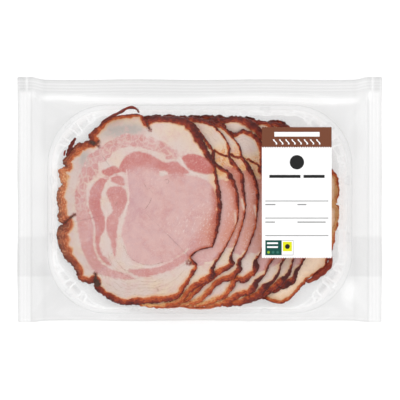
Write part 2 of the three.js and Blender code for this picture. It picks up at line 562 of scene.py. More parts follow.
# Lamps: where they stand in metres, their share of the light, their width and their height
LAMPS = {
    "key light": ((-0.9, 0.9, 1.3), 1.0, 0.7, 0.7),
    "fill light": ((1.2, 0.3, 1.1), 0.5, 0.6, 0.6),
    "left strip": ((-1.5, 0.0, 0.4), 1.0, 0.4, 1.6),
    "right strip": ((1.5, 0.0, 0.4), 1.0, 0.4, 1.6),
    "back strip": ((0.0, 1.5, 0.4), 1.0, 1.6, 0.4),
    "front strip": ((0.0, -1.5, 0.4), 1.0, 1.6, 0.4),
}
OVERHEAD_LIGHT = 0.12  # share of the room's light that comes from straight overhead
CAMERA_SHIFT = (0.000175, -0.00035)
CAMERA_LENS = 270
CAMERA_SENSOR = 36
CAMERA_REACH = 20
SHEETS_SEEN_THROUGH = 32


def floor_finish(colours):
    """A white light table."""
    finish = Finish("pale floor")
    return finish.done(finish.surface({
        "Base Color": (*colours.floor, 1),
        "Roughness": 0.9,
        "Specular IOR Level": 0.0,
        "Emission Color": WHITE,
        "Emission Strength": FLOOR_GLOW,
    }))


def add_lamp(name, place, power, width, height):
    lamp = bpy.data.lights.new(name, "AREA")
    lamp.energy = power
    lamp.shape = "RECTANGLE"
    lamp.size = width
    lamp.size_y = height
    holder = bpy.data.objects.new(name, lamp)
    holder.location = place
    holder.rotation_euler = (LAMP_AIM - Vector(place)).to_track_quat("-Z", "Y").to_euler()
    bpy.context.scene.collection.objects.link(holder)


def sizes_of(context):
    return context.scene.roast_pork_sizes


def colours_of(context):
    return context.scene.roast_pork_colours


class ROASTPORK_OT_stage(bpy.types.Operator):
    """Sets the pale floor, the soft studio light and the camera that looks straight down"""

    bl_idname = "roastpork.stage"
    bl_label = "Stage"

    def execute(self, context):
        scene = context.scene
        sizes = sizes_of(context)
        half = sizes.floor_width / 2
        mesh = bpy.data.meshes.new("floor")
        corners = [(-half, -half), (half, -half), (half, half), (-half, half)]
        mesh.from_pydata([(x, y, -sizes.floor_gap) for x, y in corners], [], [(0, 1, 2, 3)])
        mesh.materials.append(floor_finish(colours_of(context)))
        floor = bpy.data.objects.new("floor", mesh)
        scene.collection.objects.link(floor)
        floor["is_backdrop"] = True

        for name, (place, share, width, height) in LAMPS.items():
            add_lamp(name, place, sizes.light_power * share, width, height)
        scene.world = self.room(sizes)
        scene.view_settings.view_transform = "Standard"
        scene.cycles.transparent_max_bounces = SHEETS_SEEN_THROUGH

        camera = bpy.data.cameras.new("camera")
        camera.lens = CAMERA_LENS
        camera.sensor_width = CAMERA_SENSOR
        camera.clip_end = CAMERA_REACH
        holder = bpy.data.objects.new("camera", camera)
        holder.location = (*CAMERA_SHIFT, sizes.camera_height)
        scene.collection.objects.link(holder)
        scene.camera = holder
        return {"FINISHED"}

    def room(self, sizes):
        """An even room that is darker straight overhead, so that flat film doesn't mirror it."""
        finish = Finish("soft room", "worlds")
        direction = finish.node("ShaderNodeTexCoord", {}, {}, "Generated")
        around = 1 - finish.ease(finish.split(direction)[2], 0.86, 0.975)
        strength = sizes.room_light * (OVERHEAD_LIGHT + (1 - OVERHEAD_LIGHT) * around)
        light = finish.node("ShaderNodeBackground", {}, {"Color": WHITE, "Strength": strength})
        return finish.done(light, "ShaderNodeOutputWorld")


# Film

# Soft creases: from one point to another, with their width and how high they stand. The first are at
# the left end, with their mirror images at the right end.
MIRRORED_CREASES = [
    ((-118, 74), (-103, 50), 1.6, 0.8),
    ((-114.5, 71), (-114.5, -76), 0.8, 0.35),
    ((-109.5, 62), (-109.5, -60), 1.0, -0.3),
    ((-108, 70), (-88, 62), 1.5, 0.5),
]
CREASES = [
    *MIRRORED_CREASES,
    *(((-ax, ay), (-bx, by), width, height) for (ax, ay), (bx, by), width, height in MIRRORED_CREASES),
    ((-118, -83), (-100, -55), 1.8, 0.7),
    ((-112, -83), (-92, -68), 1.4, -0.5),
    ((118, -83), (101, -60), 1.8, 0.9),
    ((112, -84), (94, -68), 1.4, -0.5),
    ((105, -80), (105, -58), 2.6, 1.2),
]
# Bumps in the film: middle, width and height. film_shade also paints glare over them.
SPOTS = [(-117, 73.5, 2.0, 0.7), (118.5, 73, 2.0, 0.7), (104, -65, 5.0, 1.0)]
FILM_RIPPLE = 0.25

# Painted shade: how far from clear each sheet is tinted, and what the painted glare on the seals, the fold
# and the spots takes from that
FRONT_SHADE = 0.26
BACK_SHADE = 0.27
DOUBLED_SHADE = 0.17
END_SEAL_GLARE = 0.12
FRONT_GLARE = 0.32
BACK_GLARE = 0.25
SPOT_GLARE = 0.26
# Painted shade and painted highlight lines along folds and ribs, by edge: how far in, how wide, and how
# much (below zero is lighter)
END_SHADES = [(0.5, 1.0, 0.17), (3.2, 0.5, -0.05), (5.6, 0.6, -0.1), (8.4, 0.8, -0.07), (10.1, 0.6, 0.12),
              (15.0, 2.2, -0.04), (19.4, 1.3, 0.06)]
TOP_SHADES = [(0.3, 0.7, 0.34), (1.6, 0.8, 0.1), (3.0, 0.45, -0.16), (5.1, 0.45, -0.16), (7.2, 0.45, -0.16)]
BOTTOM_SHADES = [(0.3, 0.7, 0.2), (3.2, 0.7, 0.06), (1.9, 0.5, -0.04)]

# The film's grid lines: places, and the spacing from each to the next
FINE, MIDDLING, COARSE = 0.35, 0.8, 2.6
GRID_END = HALF_LENGTH - END_SEAL - 1
FILM_COLUMNS = [(-HALF_LENGTH, FINE), (-GRID_END, MIDDLING), (-84, COARSE), (84, MIDDLING),
                (GRID_END, FINE), (HALF_LENGTH, 0)]
FILM_ROWS = [(-HALF_WIDTH, 0.4), (-HALF_WIDTH + 3, MIDDLING), (-48, COARSE), (40, MIDDLING),
             (HALF_WIDTH - TOP_SEAL - 1, FINE), (HALF_WIDTH, 0)]


def edge_pull(x, pull):
    free = ease(END_SEAL, 2 * END_SEAL, HALF_LENGTH - np.abs(x))
    return free * (pull - EDGE_WAVE * wave(x / LONG_WAVE))


def from_edges(x, y):
    """Distances in from the nearer end, from the top edge and from the bottom edge."""
    from_top = HALF_WIDTH - edge_pull(x, TOP_PULL) - y
    from_bottom = HALF_WIDTH - edge_pull(x, BOTTOM_PULL) + y
    return HALF_LENGTH - np.abs(x), from_top, from_bottom


def film_plan(x, y):
    """Grid points of the flat bag, moved to its wavy outline."""
    corner_x = np.abs(x) - (HALF_LENGTH - EDGE_RADIUS)
    corner_y = np.abs(y) - (HALF_WIDTH - EDGE_RADIUS)
    in_corner = (corner_x > 0) & (corner_y > 0)
    longest = np.maximum(corner_x, corner_y)
    shrink = np.where(in_corner, longest / np.maximum(np.hypot(corner_x, corner_y), 1e-9), 1)
    x = np.where(in_corner, np.sign(x) * (HALF_LENGTH - EDGE_RADIUS + corner_x * shrink), x)
    y = np.where(in_corner, np.sign(y) * (HALF_WIDTH - EDGE_RADIUS + corner_y * shrink), y)
    pull = np.where(y > 0, edge_pull(x, TOP_PULL), edge_pull(x, BOTTOM_PULL))
    y = y - np.sign(y) * pull * ease(HALF_WIDTH - PULL_REACH, HALF_WIDTH, np.abs(y))
    return x * (1 - EDGE_WAVE * wave((y - HALF_WIDTH) / SHORT_WAVE) / HALF_LENGTH), y


def crease_height(x, y):
    total = np.zeros_like(x)
    for (ax, ay), (bx, by), width, height in CREASES:
        dx, dy = bx - ax, by - ay
        t = np.clip(((x - ax) * dx + (y - ay) * dy) / (dx * dx + dy * dy), 0, 1)
        away = np.hypot(x - ax - t * dx, y - ay - t * dy)
        total += height * bump(away, width) * np.sin(np.pi * np.clip(t, 0.08, 0.92))
    for sx, sy, width, height in SPOTS:
        total += height * bump(np.hypot(x - sx, y - sy), width)
    return total


def seal_ribs(x, y):
    """Ribs pressed into the end seals and along the top seal."""
    from_end, from_top, _ = from_edges(x, y)
    ends = sum(bump(from_end - at, RIB_WIDTH) for at in END_RIBS)
    ends = ends * ease(0, 1.5, HALF_WIDTH - TOP_SEAL - y) * ease(0, 1.5, y + HALF_WIDTH)
    top = sum(bump(from_top - at, RIB_WIDTH) for at in TOP_RIBS)
    top = top * ease(0, 4, TOP_RIB_END - np.abs(x))
    return RIB_HEIGHT * np.minimum(ends + top, 1)


def film_heights(x, y, thickness):
    """Heights of the front and of the back sheet."""
    outside_rim = np.maximum(rim_distance(x, y), 0)
    outside_base = np.maximum(rim_distance(x, y) + BASE_INSET, 0)
    low, high = FOLD_LIP - HALF_WIDTH, HALF_WIDTH - TOP_SEAL
    half = HALF_LENGTH - END_SEAL
    parting = rounded_box(x, y, half, (high - low) / 2, PARTING_RADIUS, (high + low) / 2)
    inside = np.maximum(-parting, 0)
    # From 0 where a sheet leaves the tray to 1 where the sheets meet
    front_t = outside_rim / (outside_rim + inside + 1e-6)
    back_t = outside_base / (outside_base + inside + 1e-6)
    ribs = seal_ribs(x, y) * ease(-0.5, 0.5, parting)
    slope = 0.55 * front_t + 0.45 * wave(front_t / 2)
    puff = CORNER_PUFF * ease(6, 30, outside_rim + inside) * np.sin(np.pi * front_t)
    free = np.sin(np.pi * np.clip(front_t, 0, 1)) ** 0.7
    front = PACK_HEIGHT + (SEAL_HEIGHT + thickness / 2 - PACK_HEIGHT) * slope + puff
    front = front + (crease_height(x, y) + FILM_RIPPLE * ripple(x, y, 34, 5)) * free
    back = (SEAL_HEIGHT - thickness / 2) * back_t
    back = back + FILM_RIPPLE * ripple(x, y, 28, 6) * np.sin(np.pi * back_t)
    return np.minimum(front, PACK_HEIGHT) + ribs, np.maximum(back, 0) + ribs


def film_shade(x, y):
    """Painted shade on the front and the back sheet: how far from clear each is tinted, less the painted
    glare.
    """
    from_end, from_top, from_bottom = from_edges(x, y)
    outside = rim_distance(x, y)
    open_film = ease(-1.5, 0.5, outside)
    under_seal = ease(8, 12, from_top)
    in_end = ease(1, 2.5, from_end) * (1 - ease(8.2, 10.2, from_end))
    # Where an end's seal and the top seal cross: painted shade, with a painted bright streak
    crossing = in_end * (1 - under_seal) * (0.14 - 0.24 * bump(from_end - 6.8, 0.9))
    in_end = in_end * under_seal
    # Painted shade: more on the left against the key light's gloss, a little more just outside the rim and
    # on the top seal, less on the end seals, the right one less so
    front = FRONT_SHADE - 0.05 * x / HALF_LENGTH + 0.02 * (1 - ease(0, 5, outside))
    front = front - END_SEAL_GLARE * in_end + 0.06 * in_end * (x > 0)
    front = front + 0.05 * (1 - ease(8, 11, from_top)) + crossing
    # Painted light under the tray, against the shadow that the meat casts on the floor
    front = front - 0.07 * (1 - ease(6, 16, from_bottom)) * bump(x - 5, 70)
    for distance, lines in ((from_end, END_SHADES), (from_top, TOP_SHADES), (from_bottom, BOTTOM_SHADES)):
        for at, width, amount in lines:
            front = front + amount * bump(distance - at, width)
    # Painted highlight along the fold under the top seal
    middle = 14.0 - 0.7 * np.sin(x / 21) - 0.8 * bump(x + 98, 16)
    fold_glare = bump(from_top - middle, 2.3) * ease(12, 22, from_end)
    front = front - FRONT_GLARE * fold_glare
    back = BACK_SHADE - END_SEAL_GLARE * in_end - BACK_GLARE * fold_glare + crossing
    # Painted glare on the spots
    for sx, sy, width, height in SPOTS:
        spot = SPOT_GLARE * height * bump(np.hypot(x - sx, (y - sy) * 0.6), width)
        front, back = front - spot, back - spot
    back = np.maximum(back, 0) * open_film
    # Painted shade on the doubled strip across the back
    doubled = ease(DOUBLED_LOW - 0.4, DOUBLED_LOW, y) * ease(-DOUBLED_HIGH - 0.4, -DOUBLED_HIGH, -y)
    back = back + DOUBLED_SHADE * doubled * ease(0, 1.5, outside)
    return np.clip(front * open_film, 0, 1), back


def graded_lines(marks):
    """Grid lines through marks, each a place and the spacing up to the next one."""
    lines = []
    for (place, spacing), (end, _) in zip(marks[:-1], marks[1:]):
        count = max(1, round((end - place) / spacing))
        lines.extend(place + (end - place) * np.arange(count) / count)
    return np.array([*lines, marks[-1][0]])


class ROASTPORK_OT_film(bpy.types.Operator):
    """Makes the bag: a front and a back sheet of clear film, sealed round the edge"""

    bl_idname = "roastpork.film"
    bl_label = "Film"

    def execute(self, context):
        x, y = film_plan(*np.meshgrid(graded_lines(FILM_COLUMNS), graded_lines(FILM_ROWS)))
        heights = film_heights(x, y, sizes_of(context).film_thickness / MM)
        points = np.concatenate([np.stack([x, y, sheet], -1).reshape(-1, 3) for sheet in heights])
        rows, columns = x.shape
        border = grid_border(columns, rows)
        faces = [
            *grid_faces(columns, rows),
            *grid_faces(columns, rows, x.size, flipped=True),
            *ring_faces(border + x.size, border),
        ]
        shade = np.concatenate([sheet.ravel() for sheet in film_shade(x, y)])
        add_mesh("film", points, faces, film_finish(colours_of(context)), {"shade": shade})
        return {"FINISHED"}


# Tray

# The tray's inside face from floor to lip: how much of the rim's and of the wall's width it lies in
# from the edge, how many millimetres further, its height, how much posts and lugs push it in, and
# how much painted shade it carries
TRAY_PROFILE = [
    (1, 1, 3.2, 0.8, 0, 0, 0.35),
    (1, 1, 1.4, 0.85, 0.2, 0, 0.35),
    (1, 1, 0.4, 1.0, 0.8, 0, 0.35),
    (1, 0.96, 0, 1.8, 1, 0, 0.3),
    (1, 0.8, 0, 4.5, 1, 0, 0.62),
    (1, 0.6, 0, 8.0, 1, 0, 0.66),
    (1, 0.4, 0, 11.0, 1, 0, 0.25),
    (1, 0.24, 0, 13.5, 1, 0, 0.15),
    (1, 0.12, 0, 15.0, 0.9, 0.6, 0.15),
    (1, 0, 0, 15.9, 0.4, 1, 0.15),
    (0.94, 0, 0, 16.4, 0, 1, 0.34),
    (0.86, 0, 0, 16.55, 0, 0.9, 0.34),
    (0.78, 0, 0, 16.5, 0, 0.6, 0.27),
    (0.6, 0, 0, 16.3, 0, 0.1, 0.27),
    (0.4, 0, 0, 16.3, 0, 0, 0.27),
    (0.24, 0, 0, 16.55, 0, 0, 0.16),
    (0.16, 0, 0, 16.6, 0, 0, 0.3),
    (0.02, 0, 0, 16.3, 0, 0, 0.2),
]
TRAY_LIP = (0, 0, 0, RIM_HEIGHT - 1.2, 0, 0, 0.25)
WALL_TOP = 15
LUGS = [(45.5, 72.9), (94.1, 60.6), (106.4, 20)]
LUG_DEPTH = 0.7
POST_DEPTH = 0.18
# Painted shade: POST_SHADE on the posts' bodies, and up to SPECK_SHADE in specks that stand for their
# sparkle. POST_SPARKLE jitters the posts' heights.
POST_SHADE = 0.25
POST_SPARKLE = 0.12
SPECK_SHADE = 0.5
# Widths of the rim and of the wall at the left, right, top and bottom, and what the corners add
RIM_WIDTHS = (3.4, 3.8, 3.6, 3.0, 0.8)
WALL_WIDTHS = (2.5, 4.7, 3.4, 0.9, 5.2)


def round_rim(outward, left, right, top, bottom, corner):
    """A size round the rim: its value on each of the four sides, and what the corners add."""
    x, y = outward.T
    sides = x**2 * np.where(x < 0, left, right) + y**2 * np.where(y > 0, top, bottom)
    return sides + corner * (2 * x * y) ** 2


def rim_walk(count):
    """Points evenly spaced round the tray's rim, with their outward directions, from the top's middle."""
    half_x = RIM_HALF_LENGTH - RIM_CORNER
    half_y = RIM_HALF_WIDTH - RIM_CORNER
    arc = math.pi / 2 * RIM_CORNER
    # Each corner's middle, and the straight stretch that comes after it
    corners = [(-half_x, half_y, 2 * half_y), (-half_x, -half_y, 2 * half_x),
               (half_x, -half_y, 2 * half_y), (half_x, half_y, 2 * half_x)]
    length = 4 * (arc + half_x + half_y)
    places, outward = [], []
    for at in (np.arange(count) * length / count - half_x) % length:
        for quarter, (x, y, straight) in enumerate(corners, 1):
            if at < arc + straight or quarter == len(corners):
                break
            at -= arc + straight
        turn = quarter * math.pi / 2 + min(at, arc) / RIM_CORNER
        out = np.array([math.cos(turn), math.sin(turn)])
        along = np.array([-out[1], out[0]])
        places.append(out * RIM_CORNER + along * max(at - arc, 0) + (x, y + TRAY_Y))
        outward.append(out)
    return np.array(places), np.array(outward), length


class Rim:
    """Points round the tray's rim, and the posts, lugs and widths of its wall at each of them."""

    def __init__(self, count):
        self.count = count
        self.places, self.outward, length = rim_walk(count)
        pitch = length / FLUTES
        from_post = np.abs((np.arange(count) * length / count + pitch / 2) % pitch - pitch / 2)
        self.post = 1 - ease(POST_WIDTH / 2 - 0.7, POST_WIDTH / 2 + 0.1, from_post)
        self.post_edge = bump(from_post - POST_WIDTH / 2, 0.7)
        self.lug = np.zeros(count)
        self.lug_edge = np.zeros(count)
        for lug_x, lug_y in LUGS:
            x, y = np.abs(self.places - (0, TRAY_Y)).T
            near = np.hypot(x - lug_x, y - lug_y)
            self.lug = np.maximum(self.lug, np.clip(1 - (near / (LUG_WIDTH / 2)) ** 2, 0, 1))
            self.lug_edge = np.maximum(self.lug_edge, bump(near - LUG_WIDTH / 2, 0.6))
        self.rim_width = round_rim(self.outward, *RIM_WIDTHS)
        self.wall_width = round_rim(self.outward, *WALL_WIDTHS)
        self.corner = round_rim(self.outward, 0, 0, 0, 0, 1)
        self.sparkle = POST_SPARKLE * np.random.default_rng(7).uniform(-1, 1, count) * self.post
        self.draw = np.random.default_rng(11)

    def ring(self, row, outset=0.0, drop=0.0):
        """The points of one row of the profile, moved out and down."""
        of_rim, of_wall, more, height, post_share, lug_share, _ = row
        inward = self.rim_width * of_rim + more + self.lug * lug_share * LUG_DEPTH - outset
        inward = inward + self.wall_width * (of_wall + POST_DEPTH * self.post * post_share)
        heights = height - drop + self.sparkle * (0 < of_wall < 0.5)
        return np.column_stack([self.places - self.outward * inward[:, None], heights])

    def shade(self, row):
        """How much painted shade the points of one row carry, standing for the plastic's reflections."""
        of_rim, of_wall, _, height, _, _, shade = row
        if not of_wall:
            # Painted shade lines along the rim and round the lugs
            return shade + 0.22 * self.lug_edge * (of_rim > 0.5) + 0.2 * (self.lug > 0) * (of_rim == 0.6)
        if height <= 1:
            return np.full(self.count, shade)
        # Painted sparkle: specks of shade on the posts' upper wall
        specks = SPECK_SHADE * self.draw.uniform(0, 1, self.count) ** 2 * (height > 7)
        body = shade * (1 - self.post) + (POST_SHADE + specks) * self.post
        # Painted shade, heavier towards the corners, and painted light along the post edges
        return (0.2 + 0.8 * self.corner) * body * (1 - 0.95 * self.post_edge * (height < 14))


class ROASTPORK_OT_tray(bpy.types.Operator):
    """Makes the clear tray, with its fluted wall, its grooved rim and the lugs on it"""

    bl_idname = "roastpork.tray"
    bl_label = "Tray"

    def execute(self, context):
        wall = sizes_of(context).tray_wall / MM
        count = FLUTES * POINTS_PER_FLUTE
        rim = Rim(count)
        inside = [rim.ring(row) for row in TRAY_PROFILE]
        lip = [rim.ring(TRAY_LIP), rim.ring(TRAY_LIP, -wall)]
        under = [rim.ring(row, wall if row[3] < WALL_TOP else 0, wall) for row in TRAY_PROFILE[-2::-1]]
        middle = np.array([0, TRAY_Y, 0])
        # Rings half as wide, in the floor's upper and lower face
        first, last = ((ring - middle) * (0.5, 0.5, 1) + middle for ring in (inside[0], under[-1]))
        rings = [first, *inside, *lip, *under, last]
        points = np.vstack([middle + (0, 0, TRAY_FLOOR), *rings, middle + (0, 0, TRAY_FLOOR - wall)])
        shades = [np.zeros(1 + count), *map(rim.shade, (*TRAY_PROFILE, TRAY_LIP))]
        shade = np.concatenate(shades)
        shade = np.pad(shade, (0, len(points) - len(shade)))
        numbers = [1 + k * count + np.arange(count) for k in range(len(rings))]
        faces = []
        for low, high in zip(numbers[:-1], numbers[1:]):
            faces.extend(ring_faces(low, high, flipped=True))
        faces.extend(zip([0] * count, numbers[0], np.roll(numbers[0], -1)))
        faces.extend(zip([len(points) - 1] * count, np.roll(numbers[-1], -1), numbers[-1]))
        add_mesh("tray", points, faces, tray_finish(colours_of(context)), {"shade": shade})
        return {"FINISHED"}


# Slices, numbered from the top one, 0. Outlines go anticlockwise in stretches that meet at the nicks
# which the string left. They are in millimetres from the middle of the top slice.

# Each stretch's crust width and how deep it is scorched, as even steps along the stretch, and its
# points on the top slice
ROLL_OUTLINE = {
    "flank": ((0.9, 2.0, 3.0, 3.4, 3.2, 2.2, 1.5), (0.9, 1.0, 1.05, 1.05, 1.0, 0.8, 0.7),
              [(51, -28), (54.5, -17), (57, 1.5), (55.5, 13.5), (53.5, 23), (52.5, 29.5)]),
    "shoulder": ((2.4, 4.6, 6.4, 6.6, 5.4, 4.4, 3.6), (1.1, 1.15, 1.1, 1.0, 0.95, 0.95, 0.9),
                 [(52.5, 29.5), (48, 39), (42, 52), (34.5, 61), (21, 63.5), (7, 62.5), (4.5, 60)]),
    "crown": ((2.2, 2.2, 2.6, 3.4, 4.4, 6.5), (0.6, 0.35, 0.35, 0.5, 0.5, 0.4),
              [(4.5, 60), (-0.5, 65), (-11, 64.5), (-21.5, 63), (-31, 55.5), (-36, 51), (-35, 47)]),
    "temple": ((5, 6, 6.6, 6.2, 5), (0.55, 0.4, 0.45, 0.5, 0.5),
               [(-35, 47), (-43.5, 44.5), (-51, 38), (-54, 30.5), (-52, 28.5)]),
    "tuck": ((3, 5.6, 6, 4.4), (0.2, -0.35, -0.4, -0.1), [(-52, 28.5), (-56.5, 26), (-55, 15.5)]),
    "side": ((4.4, 5.6, 5.8, 5.8, 6), (0.0, 0.3, 0.3, 0.35, 0.6),
             [(-55, 15.5), (-58.5, 9), (-57, -3.5), (-57.5, -10), (-53, -12)]),
    "haunch": ((7.4, 8.6, 8, 6.2, 4.8, 4.6, 4.4), (0.6, 0.45, 0.5, 0.5, 0.55, 0.6, 0.9),
               [(-53, -12), (-57.5, -15), (-58, -24), (-53, -35.5), (-45.5, -43.5), (-43.5, -50.5),
                (-34.5, -54), (-32, -52)]),
    "heel": ((4.6, 4.4, 4.2), (0.95, 0.75, 0.6), [(-32, -52), (-32, -56.5), (-24, -63.5), (-10, -69)]),
    "bottom": ((4.4, 5.0, 4.4, 3.8, 2.8, 2.4), (0.55, 0.4, 0.3, 0.25, 0.3, 0.6),
               [(-10, -69), (-1.5, -68), (12.5, -67), (26.5, -63.5), (33, -54), (40, -40.5),
                (37.5, -37.5)]),
    "lean edge": ((1.0, 0.6, 0.6, 0.9), (0.6, 0.5, 0.5, 0.9),
                  [(37.5, -37.5), (35.5, -35.5), (41.5, -30), (51, -28)]),
}
# How far past the crust its colour reaches, also on the slices under the top one
GLOW_REACH = 1.2
LONG_GLOWS = {"flank": 4.8, "lean edge": 2.2, "tuck": 2.4, "bottom": 1.9, "crown": 1.9}
FAN_FLANK_GLOW = (1.2, 1.6, 2.0, 3.2, 4.4, 4.8)
LOWEST_GLOW = 1.8

# The crust's width and scorching on the slices under the top one, and on single ones where it differs
FAN_CRUST = {
    "flank": ((1.0, 0.8, 1.0, 1.7, 2.3, 2.6, 2.4), (0.5, 0.3, 0.45, 0.9, 0.95, 0.85, 0.6)),
    "shoulder": ((1.6, 1.3, 1.5, 2.4, 3.8, 4, 3.4), (0.75, 0.5, 0.55, 0.7, 0.85, 1.0, 1.0)),
    "crown": (3.5, 0.85),
    "bottom": ((2.6, 3.0, 3.6, 4.2, 4.4, 3.4), (-0.9, -0.6, -0.3, 0.1, 0.4, 0.7)),
    "lean edge": ((2.2, 1.6, 1.3), (1.1, 1.0, 1.0)),
}
OWN_CRUST = {
    1: {"shoulder": ((2, 1.8, 1.6, 1.6, 3, 3), (1.0, 0.5, 0.4, 0.5, 0.7, 0.8))},
    4: {"shoulder": ((2.4, 3.6, 3.8, 3.4, 3, 3, 3, 3), (0.6, 0.6, 0.65, 0.6, 0.6, 0.7, 0.8, 0.8))},
    5: {"shoulder": ((4, 5, 6.4, 6.2, 4.6, 4, 3.5), (0.9, 0.9, 0.9, 0.95, 1.0, 1.0))},
    6: {"bottom": ((2, 3.6, 5, 5.4, 4), (-0.3, 0.0, 0.3, 0.55, 0.75))},
    7: {"bottom": ((2, 3.6, 5, 5.4, 4), (-0.3, 0.1, 0.35, 0.55, 0.75))},
    8: {"bottom": ((2, 3.8, 6, 6.8, 4.4), (-0.2, 0.2, 0.4, 0.6, 0.75))},
    9: {"flank": ((2.6, 3.0, 3.0, 3.0, 3), (-0.3, -1.0, -1.1, -0.8, 0.2)),
        "bottom": ((2.6, 2.6, 2.6, 2.4, 2.6), (0.0, 0.1, 0.1, 0.1, 0.3)),
        "shoulder": (3.4, 0.7), "lean edge": ((1.6, 1.6, 1.6), (0.2, 0.2, 0.4))},
}

# Slits that the string cut into the slices under the top one, by slice
SLIT_WIDTH = 0.9
SLIT_CHAR = 0.5
SLITS = {
    1: [(53.5, 33), (51, 30.5)],
    2: [(64, 35), (61, 35.4), (56, 37.3), (52, 39.6)],
    3: [(72.5, 36), (68, 34.7), (64, 36.8)],
    4: [(86, 26.5), (80.5, 30.8), (76.3, 32.6), (72, 34.7)],
}

# Slivers of fat just inside the crust, by slice
SLIVER_WIDTH = 0.6
SLIVERS = {
    1: [(66.3, -4), (67, -10), (66.7, -15.5)],
    2: [(71.2, 5.3), (72.9, -1.7)],
    3: [(80.1, 0.6), (81.7, -7.1)],
}

# The slices under the top one: how far each is moved along, and the stretches that show. The others
# are the top slice's, a little smaller.
HIDDEN_SHRINK = 0.96
SHOWN = ("flank", "shoulder", "bottom", "lean edge")
FAN = [
    ((11, -1),
     [(57.5, -33), (63.5, -21), (68, -10.5), (69, 3), (67.5, 14.5), (62.5, 24.5), (56, 28.5), (52, 32)],
     [(52, 32), (52, 38.5), (48.5, 44), (43.5, 51), (36.5, 59), (24.5, 61.5), (14, 59.5)],
     [(0.5, -69.5), (14, -70.5), (26.5, -68), (39, -57), (48.5, -51.5), (53, -47), (51.5, -44.5)],
     [(51.5, -44.5), (53, -40), (57.5, -33)]),
    ((17, -0.5),
     [(66, -29.5), (70, -18), (73.5, -5), (74, 1.5), (73, 12), (72, 23), (67, 30), (63, 35.5)],
     [(63, 35.5), (62.5, 42.5), (57.5, 51), (50.5, 58), (40.5, 62.5), (29.5, 62.5), (19.5, 60)],
     [(6.5, -70), (17.5, -70.5), (30, -68), (42, -58), (54, -48.5), (62.5, -43.5), (66, -39.5), (65, -37)],
     [(65, -37), (64.5, -33), (66, -29.5)]),
    ((25, -0.5),
     [(73.5, -33.5), (77.5, -24.5), (81, -13.5), (82.5, -0.5), (83, 10), (81, 20.5), (76.5, 29.5),
      (71.5, 35.5)],
     [(71.5, 35.5), (70, 42), (65, 49), (59, 55.5), (49, 60.5), (37, 62), (28, 60)],
     [(14, -69.5), (28, -70), (42, -66.5), (55.5, -54), (64.5, -50.5), (70, -45.5), (71.5, -42.5),
      (70.5, -40)],
     [(70.5, -40), (71, -37), (73.5, -33.5)]),
    ((34.5, -0.5),
     [(83.5, -34.5), (88, -23), (91.5, -6.5), (91.5, 7.5), (89.5, 19), (85.5, 27.5)],
     [(85.5, 27.5), (87, 38.5), (82.5, 49), (76.5, 53), (72, 54.5), (67, 52), (63, 53), (57.5, 59),
      (46, 61), (36.5, 59.5)],
     [(24, -69.5), (39, -70), (52, -67), (61.5, -61.5), (67, -53), (67, -51.5), (72, -53), (78.5, -49),
      (83, -43), (82.5, -40)],
     [(82.5, -40), (82, -37), (83.5, -34.5)]),
    ((43.5, -0.5),
     [(94, -36), (99.5, -21.5), (102, -3.5), (101.5, 12), (98, 22.5), (94.5, 28.5)],
     [(94.5, 28.5), (95, 40), (89.5, 51), (80, 59), (70.5, 63), (64.5, 63.5), (59, 62), (53, 63),
      (45.5, 60)],
     [(33, -68.5), (47.5, -70), (60, -68), (70, -63), (77, -61), (82, -57), (83, -53)],
     [(83, -53), (88, -47), (91, -40), (94, -36)]),
    ((52, 0),
     [(102, -36), (108, -21.5), (110.5, -3.5), (110, 12), (106.5, 21.5), (103, 28.5)],
     [(103, 28.5), (104.5, 40), (98.5, 51), (89.5, 59), (79, 61), (70, 62.5), (61.5, 62.5), (54.5, 60)],
     [(41.5, -68), (56, -69.5), (70, -69), (80.5, -65), (87.5, -60), (90.5, -56)],
     [(90.5, -56), (94, -52), (97.5, -47), (99, -41), (102, -36)]),
    ((60, 0.5),
     [(108, -36.5), (115, -21.5), (118.5, -3.5), (117.5, 12), (114, 21.5), (110.5, 28.5)],
     [(110.5, 28.5), (112, 40), (106.5, 50.5), (97.5, 58), (87.5, 60), (77, 61), (68.5, 61), (63, 59.5)],
     [(49.5, -67), (63, -68.5), (75.5, -67), (87, -63), (96, -57.5), (101, -53), (102.5, -51)],
     [(102.5, -51), (105.5, -47), (106.5, -42.5), (108, -36.5)]),
    ((70, 0.5),
     [(116, -36), (124, -21.5), (127.5, -3.5), (126.5, 12), (123, 21.5), (119, 28.5)],
     [(119, 28.5), (120.5, 40), (115, 49.5), (105.5, 56), (95, 59.5), (85.5, 60), (77, 59.5), (72, 58)],
     [(59.5, -66), (71.5, -68), (82.5, -65), (91.5, -61), (101.5, -57), (108, -54), (110, -50)],
     [(110, -50), (110.5, -46), (113, -41.5), (116, -36)]),
    ((81, 1.5),
     [(134.5, -30), (136.5, -24.5), (136.5, -18.5), (138.5, -14), (139.6, -3), (139, 0.5), (137.4, 2),
      (139.3, 8.5), (139, 19), (137, 23.5), (133.5, 28)],
     [(133.5, 27.5), (126.5, 38.5), (116, 49.5), (105.5, 56.5), (101, 59.5), (95, 61), (89.5, 60.5),
      (83.5, 58)],
     [(70, -65), (81, -63.5), (88, -65), (93.5, -67), (99, -67.6), (104.5, -65), (109.5, -60.5),
      (112.5, -56.8), (116, -53.5), (117.5, -50.5)],
     [(117.5, -50.5), (121.5, -48), (126.5, -44.8), (130, -41.5), (131.8, -37), (134.5, -30)]),
]

